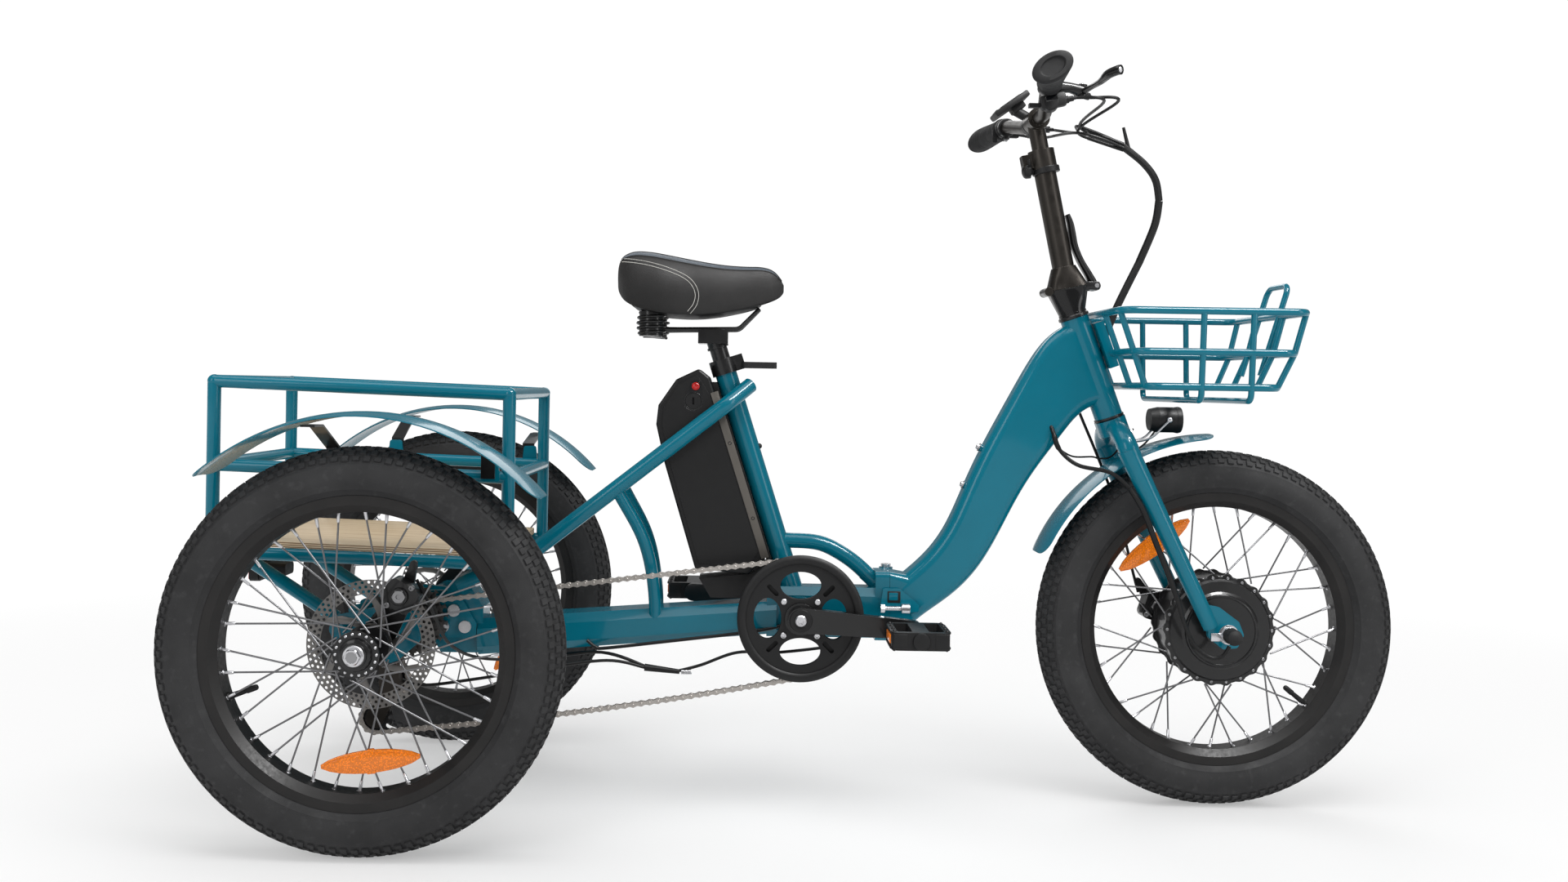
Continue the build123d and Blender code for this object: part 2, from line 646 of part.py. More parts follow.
def make_fender_straps():
    """Steel straps from the rack's middle rail to the underside of the fenders."""
    inner_y = RACK_HALF_WIDTH + 11.1
    sheet = 3.0
    with BuildPart() as straps:
        for angle in STRAP_ANGLES:
            x, top = polar(FENDER_RADIUS - FENDER_CROWN - FENDER_SHEET - 1.0, angle)
            top += AXLE_Z
            x += REAR_AXLE_X
            low = rack_z(RACK_MIDDLE_Z, x)
            lean = abs(90 - angle)
            drop = 10 * tan(radians(lean))
            level = top - drop - sheet
            with BuildSketch(section_plane(x - 10, 0, 0)):
                with BuildLine():
                    Polyline((-inner_y, low - 2), (-inner_y - sheet, low - 2),
                             (-inner_y - sheet, low + 32), (-WHEEL_Y + 42, level),
                             (-WHEEL_Y + 4, level), (-WHEEL_Y + 4, level + sheet),
                             (-WHEEL_Y + 42.5, level + sheet), (-inner_y, low + 34), close=True)
                make_face()
            extrude(amount=20)
        mirror(about=Plane.XZ)
    return straps.part


def make_tail_light():
    """Lamp under the rack's rear rail, with its bracket foot."""
    with BuildPart() as lamp:
        with BuildSketch(section_plane(-878, 0, 342)) as lens:
            Rectangle(66, 30)
            fillet(lens.vertices(), radius=9)
        extrude(amount=14)
        with BuildSketch(section_plane(-864, 0, 342)) as housing:
            Rectangle(60, 27)
            fillet(housing.vertices(), radius=8)
        with BuildSketch(section_plane(-826, 0, 344)) as nose:
            Rectangle(40, 18)
            fillet(nose.vertices(), radius=6)
        loft()
        with Locations((-866, 0, 365)):
            Box(10, 24, 26)
    return lamp.part


# ---- drive train --------------------------------------------------------------------

def toothed_disc(x, z, y, teeth, thickness, bore):
    """Chain wheel: a disc with a round seat for each chain roller."""
    radius = pitch_radius(teeth)
    with BuildPart() as wheel:
        with BuildSketch(side_plane(y)):
            with Locations((x, z)):
                Circle(radius + 3.2)
                with PolarLocations(radius, teeth):
                    Circle(ROLLER_RADIUS, mode=Mode.SUBTRACT)
                Circle(bore, mode=Mode.SUBTRACT)
        extrude(amount=thickness / 2, both=True)
    return wheel.part


def make_cassette():
    """Seven cogs and their spacers on one carrier that turns freely on the axle."""
    bore = REAR_SHAFT_RADIUS + FIT
    core = 19.0
    cogs = []
    for index, teeth in enumerate(COG_TEETH):
        y = CHAIN_Y + index * COG_SPACING
        cogs.append(toothed_disc(REAR_AXLE_X, AXLE_Z, y, teeth, 1.8, core - 1))
    reach = len(COG_TEETH) * COG_SPACING
    carrier = cross_cylinder(REAR_AXLE_X, AXLE_Z, CHAIN_Y - 3, CHAIN_Y + reach, core, bore)
    with BuildPart() as cassette:
        add(carrier)
        add(cogs)
    return cassette.part


def make_chainring():
    """Chainring with four spider openings and the round guard bolted outside it."""
    openings = 4
    ring = toothed_disc(BRACKET_X, BRACKET_Z, CHAIN_Y, RING_TEETH, 2.4, 24.0)
    guard_y = CHAIN_Y - 7.5
    with BuildPart() as chainring:
        add(ring)
        with BuildSketch(side_plane(CHAIN_Y)):
            with Locations((BRACKET_X, BRACKET_Z)):
                with PolarLocations(50, openings):
                    Ellipse(21, 31)
        extrude(amount=3, both=True, mode=Mode.SUBTRACT)
        with BuildSketch(side_plane(guard_y + 1.5)):
            with Locations((BRACKET_X, BRACKET_Z)):
                Circle(RING_RADIUS + 6.4)
                with PolarLocations(50, openings):
                    Ellipse(21, 31, mode=Mode.SUBTRACT)
                with PolarLocations(60, openings, start_angle=45):
                    SlotOverall(22, 7, mode=Mode.SUBTRACT)
                Circle(24.0, mode=Mode.SUBTRACT)
        extrude(amount=3)
        with BuildSketch(side_plane(CHAIN_Y)):
            with Locations((BRACKET_X, BRACKET_Z)):
                with PolarLocations(36, openings, start_angle=45):
                    Circle(5)
        extrude(amount=8)
    return chainring.part


def crank_tip(side):
    """Pedal axle centre in the side view; the right arm points forward."""
    dx, dz = polar(CRANK_LENGTH, -CRANK_TILT)
    return BRACKET_X - side * dx, BRACKET_Z - side * dz


def make_crankset():
    """Spindle, both crank arms, the ring's spider and the two pedal axles."""
    arms = []
    for side in (1, -1):
        tip_x, tip_z = crank_tip(side)
        near = side * CRANK_ARM_Y
        with BuildPart() as arm:
            with BuildSketch(side_plane(near)):
                with Locations((BRACKET_X, BRACKET_Z)):
                    Circle(19)
                with Locations((tip_x, tip_z)):
                    Circle(14)
                make_hull()
            extrude(amount=-side * 14)
        arms.append(arm.part)
        arms.append(cross_cylinder(tip_x, tip_z, *sorted((near, side * (CRANK_ARM_Y + 108))),
                                   PEDAL_AXLE_RADIUS))
    with BuildPart() as crankset:
        add(cross_cylinder(BRACKET_X, BRACKET_Z, -CRANK_ARM_Y - 2, CRANK_ARM_Y + 2,
                           SPINDLE_RADIUS))
        add(cross_cylinder(BRACKET_X, BRACKET_Z, -CRANK_ARM_Y - 1, -46, 23.9))
        add(cross_cylinder(BRACKET_X, BRACKET_Z, 46, CRANK_ARM_Y + 1, 14))
        add(arms)
    return crankset.part


def make_pedal(side):
    """Open cage pedal with a central barrel; side is -1 on the right and 1 on the left."""
    tip_x, tip_z = crank_tip(side)
    near, far = side * (CRANK_ARM_Y + 18), side * (CRANK_ARM_Y + 106)
    low, high = sorted((near, far))
    with BuildPart() as pedal:
        with BuildSketch(Plane.XY.offset(tip_z - 13)):
            with Locations((tip_x, (low + high) / 2)):
                cage = Rectangle(84, high - low)
                fillet(cage.vertices(), radius=10)
        extrude(amount=26)
        with BuildSketch(Plane.XY.offset(tip_z - 20)):
            with Locations((tip_x, (low + high) / 2)):
                with GridLocations(46, 0, 2, 1):
                    RectangleRounded(22, high - low - 18, 5)
        extrude(amount=40, mode=Mode.SUBTRACT)
        add(cross_cylinder(tip_x, tip_z, low, high, 13.0))
        add(cross_cylinder(tip_x, tip_z, low - 5, high + 5, PEDAL_AXLE_RADIUS + FIT),
            mode=Mode.SUBTRACT)
    return pedal.part


def make_pulley(centre):
    """Toothed jockey wheel with a raised boss."""
    boss = cross_cylinder(*centre, CHAIN_Y - 4, CHAIN_Y + 4, 8.0)
    with BuildPart() as pulley:
        add(toothed_disc(*centre, CHAIN_Y, PULLEY_TEETH, 2.3, 3.0))
        add(boss)
        add(cross_cylinder(*centre, CHAIN_Y - 5, CHAIN_Y + 5, 3.0 + FIT), mode=Mode.SUBTRACT)
    return pulley.part


def make_derailleur():
    """Rear mechanism: hanger bolt, parallelogram, cage plates and pulley pins."""
    guide, tension = Vector(*GUIDE_CENTRE, 0), Vector(*TENSION_CENTRE, 0)
    hanger = (-645.0, 234.0)
    with BuildPart() as derailleur:
        for y in (CHAIN_Y - 5.5, CHAIN_Y + 8.0):
            with BuildSketch(side_plane(y)):
                with Locations(guide):
                    Circle(13)
                with Locations(tension):
                    Circle(14)
                make_hull()
            extrude(amount=2.5)
        for centre in (GUIDE_CENTRE, TENSION_CENTRE):
            add(cross_cylinder(*centre, CHAIN_Y - 7, CHAIN_Y + 7, 3.0))
        with BuildSketch(side_plane(CHAIN_Y - 7.9)):
            with Locations(hanger):
                Circle(11)
            with Locations(guide):
                Circle(16)
            make_hull()
        extrude(amount=19)
        add(cross_cylinder(*hanger, -SIDE_PLATE_INNER_Y + 0.1, CHAIN_Y - 14, 8))
    return derailleur.part


def belt_side(from_centre, from_radius, from_turn, to_centre, to_radius, to_turn):
    """Ends of the straight run between two chain wheels; turn is 1 anticlockwise, else -1."""
    dx, dz = to_centre[0] - from_centre[0], to_centre[1] - from_centre[1]
    offset = from_radius * from_turn - to_radius * to_turn
    angle = atan2(dz, dx) + asin(offset / hypot(dx, dz))
    normal = (sin(angle), -cos(angle))
    return [(c[0] + r * t * normal[0], c[1] + r * t * normal[1])
            for c, r, t in ((from_centre, from_radius, from_turn),
                            (to_centre, to_radius, to_turn))]


def chain_outline():
    """Pitch line of the chain as (kind, points) runs, in the side view."""
    wheels = [((BRACKET_X, BRACKET_Z), RING_RADIUS, 1),
              ((REAR_AXLE_X, AXLE_Z), pitch_radius(COG_TEETH[0]), 1),
              (GUIDE_CENTRE, PULLEY_RADIUS, -1), (TENSION_CENTRE, PULLEY_RADIUS, 1)]
    return wheels, [belt_side(*wheels[i], *wheels[(i + 1) % 4]) for i in range(4)]


def arc_middle(centre, radius, start, end, turn):
    """Point halfway along a wheel's wrapped arc."""
    first = atan2(start[1] - centre[1], start[0] - centre[0])
    last = atan2(end[1] - centre[1], end[0] - centre[0])
    span = (last - first) * turn % radians(360)
    angle = first + turn * span / 2
    return centre[0] + radius * cos(angle), centre[1] + radius * sin(angle)


def make_chain():
    """The two rows of chain plates as closed bands, either side of the teeth."""
    wheels, runs = chain_outline()
    plate_height = 7.4
    sag = 9.0
    with BuildPart() as chain:
        for y in (CHAIN_Y - 2.3, CHAIN_Y + 3.5):
            with BuildSketch(side_plane(y)) as band:
                with BuildLine():
                    for index, (start, end) in enumerate(runs):
                        if index == 3:
                            middle = ((start[0] + end[0]) / 2, (start[1] + end[1]) / 2 - sag)
                            ThreePointArc(start, middle, end)
                        else:
                            Line(start, end)
                        centre, radius, turn = wheels[(index + 1) % 4]
                        after = runs[(index + 1) % 4][0]
                        ThreePointArc(end, arc_middle(centre, radius, end, after, turn), after)
                loop = make_face()
                inner = offset(loop, amount=-plate_height / 2, mode=Mode.PRIVATE)
                offset(amount=plate_height / 2, mode=Mode.REPLACE)
                add(inner, mode=Mode.SUBTRACT)
            extrude(amount=1.2)
    return chain.part


# ---- brakes -------------------------------------------------------------------------

REAR_CALIPER = (-585.0, 345.0)
FRONT_CALIPER = (550.0, 300.0)


def caliper(centre, axle_x, rotor_y, rotor_radius, outward, plate, mount_radius):
    """Brake caliper round a rotor, with its bracket plate between two Y positions. outward
    is the sign of Y from the bracket towards the rotor."""
    tilt = degrees(atan2(centre[1] - AXLE_Z, centre[0] - axle_x))
    near, far = sorted((rotor_y - outward * 20, rotor_y + outward * 12))
    with BuildPart() as body:
        with BuildSketch(side_plane(near)):
            with Locations(Location((*centre, 0), (0, 0, tilt))):
                shell = Rectangle(38, 46)
                fillet(shell.vertices(), radius=9)
        extrude(amount=near - far)
        with BuildSketch(side_plane(plate[0])):
            with Locations((axle_x, AXLE_Z)):
                Circle(mount_radius + 6)
            with Locations(centre):
                Circle(15)
            make_hull()
        extrude(amount=plate[0] - plate[1])
        add(cross_cylinder(axle_x, AXLE_Z, rotor_y - 1.8, rotor_y + 1.8, rotor_radius + 2),
            mode=Mode.SUBTRACT)
        add(cross_cylinder(axle_x, AXLE_Z, -400, 400, mount_radius + 0.02), mode=Mode.SUBTRACT)
    return body.part


def make_rear_calipers():
    piece = caliper(REAR_CALIPER, REAR_AXLE_X, -REAR_ROTOR_Y, REAR_ROTOR_RADIUS, -1,
                    (-242, -236), HOUSING_RADIUS)
    with BuildPart() as calipers:
        add(piece)
        mirror(about=Plane.XZ)
    return calipers.part


def make_brake_arm(centre, y_low, y_high, lean):
    """Short lever arm that turns on the caliper's axis."""
    tip = polar(42, lean)
    with BuildPart() as arm:
        with BuildSketch(side_plane(y_low)):
            with Locations(centre):
                Circle(10)
            with Locations((centre[0] + tip[0], centre[1] + tip[1])):
                Circle(5)
            make_hull()
        extrude(amount=y_low - y_high)
    return arm.part


def make_rear_brake_arms():
    arm = make_brake_arm(REAR_CALIPER, -235.9, -229, 75)
    with BuildPart() as arms:
        add(arm)
        mirror(about=Plane.XZ)
    return arms.part


# ---- seat, battery ------------------------------------------------------------------

SEAT_POST_TOP = 18.0
SADDLE_OUTLINE = [(-313, 800), (-310, 826), (-292, 846), (-240, 842), (-195, 834), (-142, 829),
                  (-105, 831), (-80, 825), (-58, 800), (-57, 786), (-70, 777), (-125, 760),
                  (-200, 752), (-284, 764)]


def make_saddle():
    """Padded saddle: its side outline cut to a plan that narrows to the nose."""
    body = side_prism(SADDLE_OUTLINE, -105, 105)
    with BuildPart() as saddle:
        with BuildSketch(Plane.XY.offset(700)):
            with BuildLine():
                Spline((-314, 0), (-300, 84), (-235, 104), (-165, 62), (-100, 30), (-53, 0),
                       tangents=((0, 1), (0, -1)))
                Spline((-314, 0), (-300, -84), (-235, -104), (-165, -62), (-100, -30), (-53, 0),
                       tangents=((0, -1), (0, 1)))
            make_face()
        extrude(amount=200)
        add(body, mode=Mode.INTERSECT)
    return saddle.part


def make_seat_post():
    post_bottom = SEAT_TOP - SEAT_DIR * 200
    return rod(post_bottom, SEAT_TOP + SEAT_DIR * SEAT_POST_TOP, SEAT_POST_RADIUS)


def make_saddle_mount():
    """Clamp head, the two saddle rails and the two springs."""
    head = SEAT_TOP + SEAT_DIR * (SEAT_POST_TOP + 0.1)
    rails = [bent_tube([(-272, side * 40, 728), (-215, side * 22, 729), (-125, side * 22, 731),
                        (-94, side * 10, 763)], 3.5, 15) for side in (1, -1)]
    springs = [rod((-260, side * 40, 717), (-260, side * 40, 755), 19.0) for side in (1, -1)]
    with BuildPart() as mount:
        with Locations(Location(tuple(head), (0, -SEAT_ANGLE, 0))):
            Cylinder(17, 4, align=(Align.CENTER, Align.CENTER, Align.MIN))
        add(rod(head, head + SEAT_DIR * 12, 15.0))
        with Locations((head.X - 8, 0, head.Z + 7)):
            Box(46, 52, 22, align=(Align.CENTER, Align.CENTER, Align.MIN))
        add(rails)
        add(springs)
    return mount.part


LEVER_PIVOT = SEAT_TOP - SEAT_DIR * 12 + Vector(36, -19, 3)


def make_seat_lever():
    """Quick-release lever of the seat clamp."""
    with BuildPart() as lever:
        with BuildSketch(Plane.XY.offset(LEVER_PIVOT.Z - 5)):
            with Locations((LEVER_PIVOT.X, LEVER_PIVOT.Y)):
                Circle(8)
            with Locations((LEVER_PIVOT.X + 42, LEVER_PIVOT.Y + 6)):
                Circle(5)
            make_hull()
        extrude(amount=10)
    return lever.part


BATTERY_GAP = 25.4
RAIL_FACE = 25.0


def seat_tube_side(height, gap):
    """Point of the side view behind the seat tube's axis: at this height, this far away."""
    along = (height - BRACKET_Z + gap * sin(radians(SEAT_ANGLE))) / cos(radians(SEAT_ANGLE))
    back = Vector(-cos(radians(SEAT_ANGLE)), 0, -sin(radians(SEAT_ANGLE)))
    point = BRACKET + SEAT_DIR * along + back * gap
    return point.X, point.Z


def make_battery_pack():
    outline = [seat_tube_side(374, BATTERY_GAP), seat_tube_side(655, BATTERY_GAP), (-186, 668),
               (-221, 651), (-248, 611), (-251, 581), (-237, 521), (-187, 358),
               seat_tube_side(352, 58)]
    with BuildPart() as battery:
        with BuildSketch(side_plane(BATTERY_HALF_WIDTH)):
            with BuildLine():
                Polyline(*outline, close=True)
            make_face()
            fillet(vertices(), radius=5)
        extrude(amount=2 * BATTERY_HALF_WIDTH)
        sides = battery.faces().filter_by(Axis.Y).edges()
        fillet(sides, radius=4)
        add(cross_cylinder(*BATTERY_BUTTON, -45, -31, 6.0 + FIT), mode=Mode.SUBTRACT)
        add(cross_cylinder(*BATTERY_LOCK, -45, -27, 12.0 + FIT), mode=Mode.SUBTRACT)
    return battery.part


def make_battery_key():
    """Lock barrel with its key slot."""
    with BuildPart() as barrel:
        add(cross_cylinder(*BATTERY_LOCK, -38.5, -27.5, 12.0))
        with Locations((BATTERY_LOCK[0], -38, BATTERY_LOCK[1])):
            Box(3, 8, 11, mode=Mode.SUBTRACT)
    return barrel.part


def make_battery_rail():
    """Mounting rail on the seat tube and the controller box under the battery."""
    slots = []
    for height in range(400, 640, 45):
        x, z = seat_tube_side(height, RAIL_FACE)
        slots.append(Pos(x, 0, z) * Rot(0, -SEAT_ANGLE, 0) * Box(6, 14, 22))
    near, far = SEAT_TUBE_RADIUS + 0.1, RAIL_FACE
    outline = [seat_tube_side(345, near), seat_tube_side(648, near),
               seat_tube_side(648, far), seat_tube_side(345, far)]
    low_outline = [seat_tube_side(345, near), seat_tube_side(368, far), seat_tube_side(351, 55),
                   (-181, 343), (-163, 313), (-111, 313)]
    pieces = [side_prism(outline, -17, 17), side_prism(low_outline, -27, 27)]
    with BuildPart() as rail:
        add(pieces)
        add(slots, mode=Mode.SUBTRACT)
    return rail.part


# ---- front frame --------------------------------------------------------------------

BOSS_HOLE_RADIUS = 2.1                    # tapping size of an M5 thread
BOSS_DEPTH = 12.0
BOSS_DIR = Vector(-0.9253, 0, 0.3793)
BOTTLE_BOSSES = [Vector(255.0, 0, 552.2), Vector(230.7, 0, 493.0)]


def make_front_frame():
    """Curved main tube, head tube and the front half of the frame hinge."""
    stations = [((140, 308), 66, 60, 62), ((192, 352), 72, 58, 44), ((236, 408), 76, 56, 34),
                ((268, 474), 80, 56, 27), ((305, 545), 88, 56, 33), ((352, 622), 108, 52, 52),
                ((422, 686), 136, 40, 66)]
    head_tube = rod(HEAD_BOTTOM, HEAD_TOP, HEAD_RADIUS)
    with BuildPart() as front_frame:
        for (x, z), depth, width, lean in stations:
            facing = (cos(radians(90 - lean)), 0, sin(radians(90 - lean)))
            with BuildSketch(Plane(origin=(x, 0, z), x_dir=(0, 1, 0), z_dir=facing)) as ring:
                Rectangle(width, depth)
                fillet(ring.vertices(), radius=16)
        loft()
        with BuildSketch(section_plane(HINGE_X + 0.15, 0, (HINGE_TOP + HINGE_BOTTOM) / 2)) as block:
            Rectangle(2 * HINGE_HALF_WIDTH, HINGE_TOP - HINGE_BOTTOM)
            fillet(block.vertices(), radius=8)
        with BuildSketch(section_plane(152, 0, (HINGE_TOP + HINGE_BOTTOM) / 2 + 6)) as neck:
            Rectangle(2 * HINGE_HALF_WIDTH - 2, HINGE_TOP - HINGE_BOTTOM - 24)
            fillet(neck.vertices(), radius=14)
        loft()
        add(head_tube)
        add(hinge_knuckles((HINGE_BOTTOM + 25, HINGE_TOP - 25)))
        add(hinge_cutter(HINGE_BOTTOM, HINGE_BOTTOM + 24.9), mode=Mode.SUBTRACT)
        add(hinge_cutter(HINGE_TOP - 24.9, HINGE_TOP), mode=Mode.SUBTRACT)
        add(rod((HINGE_X, HINGE_PIN_Y, HINGE_BOTTOM - 5), (HINGE_X, HINGE_PIN_Y, HINGE_TOP + 5),
                5.0 + FIT), mode=Mode.SUBTRACT)
        add(rod(HEAD_BOTTOM - HEAD_DIR * 5, HEAD_TOP + HEAD_DIR * 5, HEAD_BORE),
            mode=Mode.SUBTRACT)
        for mouth in BOTTLE_BOSSES:
            add(rod(mouth - BOSS_DIR * 16, mouth, 6.0))
            add(rod(mouth - BOSS_DIR * BOSS_DEPTH, mouth + BOSS_DIR, BOSS_HOLE_RADIUS),
                mode=Mode.SUBTRACT)
    return front_frame.part


BASKET_LEVELS = [(763, 435, 709, 157), (703, 457, 694, 153), (652, 476, 671, 148)]
BASKET_WIRE = 5.5


def make_front_basket():
    """Open wire basket with its mounting block on the head tube."""
    wires = []
    for z, rear, front, half in BASKET_LEVELS:
        wires.append(bent_tube([(rear, 0, z), (rear, half, z), (front, half, z), (front, -half, z),
                                (rear, -half, z), (rear, -1, z)], BASKET_WIRE, 22))
        wires.append(rod((rear, -2, z), (rear, 2, z), BASKET_WIRE))
    top, middle, bottom = BASKET_LEVELS
    for side in (1, -1):
        for x in (554, 627):
            wires.append(bent_tube([(x, side * top[3], top[0]), (x, side * middle[3], middle[0]),
                                    (x, side * bottom[3], 632), (x, 0, 632)], 4.5, 12))
    for upper, lower in ((top, middle), (middle, bottom)):
        for side in (1, -1):
            for share in (0.35, 0.9):
                wires.append(rod((upper[2], side * upper[3] * share, upper[0]),
                                 (lower[2], side * lower[3] * share, lower[0]), 4.5))
                wires.append(rod((upper[1], side * upper[3] * share, upper[0]),
                                 (lower[1], side * lower[3] * share, lower[0]), 4.5))
    for y in (-110, -55, 0, 55, 110):
        wires.append(rod((bottom[1], y, bottom[0]), (bottom[2], y, bottom[0]), 4.5))
    wires.append(bent_tube([(680, -41, 671), (722, -41, 811), (722, 41, 811), (680, 41, 671)],
                           4.5, 16))
    block_base = HEAD_TOP - HEAD_DIR * 92
    with BuildPart() as basket:
        add(wires)
        with BuildSketch(Plane(origin=block_base, x_dir=(0, 1, 0), z_dir=HEAD_DIR)):
            with Locations((0, -29.5)):
                Rectangle(46, 14)
        extrude(amount=74)
    return basket.part


# ---- steering -----------------------------------------------------------------------

def head_point(up, forward, y=0.0):
    """Point given by distances along the head axis from the head tube's foot and ahead of it."""
    ahead = Vector(HEAD_DIR.Z, 0, -HEAD_DIR.X)
    point = HEAD_BOTTOM + HEAD_DIR * up + ahead * forward
    return point.X, y, point.Z


def make_fork():
    """Steerer, crown, arched shoulders, two legs with dropouts and the lower half of the stem's fold joint."""
    legs = []
    for side in (1, -1):
        top = (470, side * FORK_LEG_Y, 555)
        foot = (601, side * FORK_LEG_Y, 286)
        line = Vector(*foot) - Vector(*top)
        with BuildPart() as leg:
            with BuildSketch(Plane(origin=top, z_dir=line)):
                Circle(16)
            with BuildSketch(Plane(origin=foot, z_dir=line)):
                Circle(11.5)
            loft()
        legs.append(leg.part)
        inner, outer = sorted((side * (FORK_LEG_Y - 5), side * (FORK_LEG_Y + 5)))
        dropout = side_prism([(592, 322), (612, 318), (642, 296), (650, 276), (640, 256),
                              (618, 254), (596, 272)], inner, outer, 5)
        legs.append(dropout)
    crown_low = HEAD_BOTTOM - HEAD_DIR * 27
    shoulders = curved_tube([(476, -FORK_LEG_Y, 543), (468, -62, 566), (464.5, -38, 581),
                             (464, 0, 585.5), (464.5, 38, 581), (468, 62, 566),
                             (476, FORK_LEG_Y, 543)], 15.5)
    with BuildPart() as fork:
        add(rod(HEAD_BOTTOM - HEAD_DIR * 6, HEAD_TOP + HEAD_DIR * 8, STEERER_RADIUS))
        with BuildSketch(Plane(origin=crown_low, x_dir=(0, 1, 0), z_dir=HEAD_DIR)):
            RectangleRounded(52, 46, 20)
        extrude(amount=24)
        add(rod(crown_low, HEAD_BOTTOM - HEAD_DIR * 0.3, 21.0))
        add(legs)
        add(shoulders)
        add(rod(HEAD_TOP + HEAD_DIR * 0.3, HEAD_TOP + HEAD_DIR * 9, HEAD_RADIUS))
        with BuildSketch(Plane(origin=HEAD_TOP + HEAD_DIR * 8, x_dir=(0, 1, 0), z_dir=HEAD_DIR)):
            Circle(21)
        with BuildSketch(Plane(origin=STEM_PIVOT, x_dir=(0, 1, 0), z_dir=STEM_DIR)):
            with Locations((0, -33)):
                RectangleRounded(42, 64, 14)
        loft()
        add(rod(STEM_PIVOT - Vector(0, 9.9, 0), STEM_PIVOT + Vector(0, 9.9, 0), 7.0))
        for side in (1, -1):
            add(rod(STEM_PIVOT + Vector(0, side * 9.8, 0), STEM_PIVOT + Vector(0, side * 22, 0),
                    7.6), mode=Mode.SUBTRACT)
        add(rod(STEM_PIVOT - Vector(0, 30, 0), STEM_PIVOT + Vector(0, 30, 0), 3.0 + FIT),
            mode=Mode.SUBTRACT)
        add(cross_cylinder(FRONT_AXLE_X, AXLE_Z, -90, 90, MOTOR_AXLE_RADIUS + 0.02),
            mode=Mode.SUBTRACT)
    return fork.part


def make_handlepost():
    """Upper half of the fold joint, the stem tube and its height clamp."""
    foot = STEM_FOOT
    tube_foot = foot + STEM_DIR * 34
    tube_top = foot + STEM_DIR * STEM_LENGTH
    with BuildPart() as post:
        with BuildSketch(Plane(origin=STEM_PIVOT + STEM_DIR * 0.4, x_dir=(0, 1, 0),
                               z_dir=STEM_DIR)):
            with Locations((0, -33)):
                RectangleRounded(42, 64, 14)
        with BuildSketch(Plane(origin=tube_foot, x_dir=(0, 1, 0), z_dir=STEM_DIR)):
            Circle(19)
        loft()
        add(rod(tube_foot - STEM_DIR * 2, tube_top, STEM_RADIUS))
        add(rod(tube_top - STEM_DIR * 30, tube_top, 20.5))
        with BuildSketch(Plane(origin=tube_top - STEM_DIR * 26, x_dir=(0, 1, 0), z_dir=STEM_DIR)):
            with Locations((0, 25)):
                Rectangle(20, 16)
        extrude(amount=22)
        for side in (1, -1):
            add(rod(STEM_PIVOT + Vector(0, side * 10.1, 0), STEM_PIVOT + Vector(0, side * 20, 0),
                    7.0))
        add(rod(STEM_PIVOT - Vector(0, 10.1, 0), STEM_PIVOT + Vector(0, 10.1, 0), 7.6),
            mode=Mode.SUBTRACT)
        add(rod(STEM_PIVOT - Vector(0, 20, 0), STEM_PIVOT + Vector(0, 20, 0), 3.0))
        add(rod(tube_top - STEM_DIR * 200, tube_top + STEM_DIR * 5, STEM_BORE), mode=Mode.SUBTRACT)
    return post.part


STEM_LEVER_PIVOT = (432.0, 808.0)


def make_stem_lever():
    """Latch lever that locks the folding stem."""
    x, z = STEM_LEVER_PIVOT
    with BuildPart() as lever:
        with BuildSketch(side_plane(13)):
            with BuildLine():
                Polyline((x - 6, z - 8), (x + 8, z - 8), (x + 8, z + 10), (x - 14, z + 84),
                         (x - 30, z + 112), (x - 38, z + 110), (x - 24, z + 72), (x - 5, z + 8),
                         close=True)
            make_face()
            fillet(vertices(), radius=3)
        extrude(amount=26)
    return lever.part


def make_handlebar():
    """Swept bar on the quill that slides in the stem."""
    quill_top = STEM_FOOT + STEM_DIR * (STEM_LENGTH + 40)
    quill_foot = STEM_FOOT + STEM_DIR * (STEM_LENGTH - 140)
    half = [(BAR_CENTRE.X, 0, BAR_CENTRE.Z), (BAR_CENTRE.X, 60, BAR_CENTRE.Z), tuple(BAR_BEND),
            tuple(BAR_END)]
    right = [(x, -y, z) for x, y, z in half]
    sides = [bent_tube(half, BAR_RADIUS, 40), bent_tube(right, BAR_RADIUS, 40)]
    with BuildPart() as handlebar:
        add(sides)
        add(rod(quill_foot, quill_top, QUILL_RADIUS))
        add(rod((BAR_CENTRE.X, -22, BAR_CENTRE.Z), (BAR_CENTRE.X, 22, BAR_CENTRE.Z), 17.0))
    return handlebar.part


def bar_point(y):
    """Point of the bar's outer straight at this distance from the centre plane."""
    share = (abs(y) - BAR_BEND.Y) / (BAR_END.Y - BAR_BEND.Y)
    point = BAR_BEND + (BAR_END - BAR_BEND) * share
    return Vector(point.X, point.Y if y > 0 else -point.Y, point.Z)


def bar_sleeve(y_inner, y_outer, radius):
    """Ring round the bar's outer straight."""
    start, end = bar_point(y_inner), bar_point(y_outer)
    with BuildPart() as sleeve:
        with BuildSketch(Plane(origin=start, z_dir=end - start)):
            Circle(radius)
            Circle(BAR_RADIUS + 0.03, mode=Mode.SUBTRACT)
        extrude(amount=(end - start).length)
    return sleeve.part


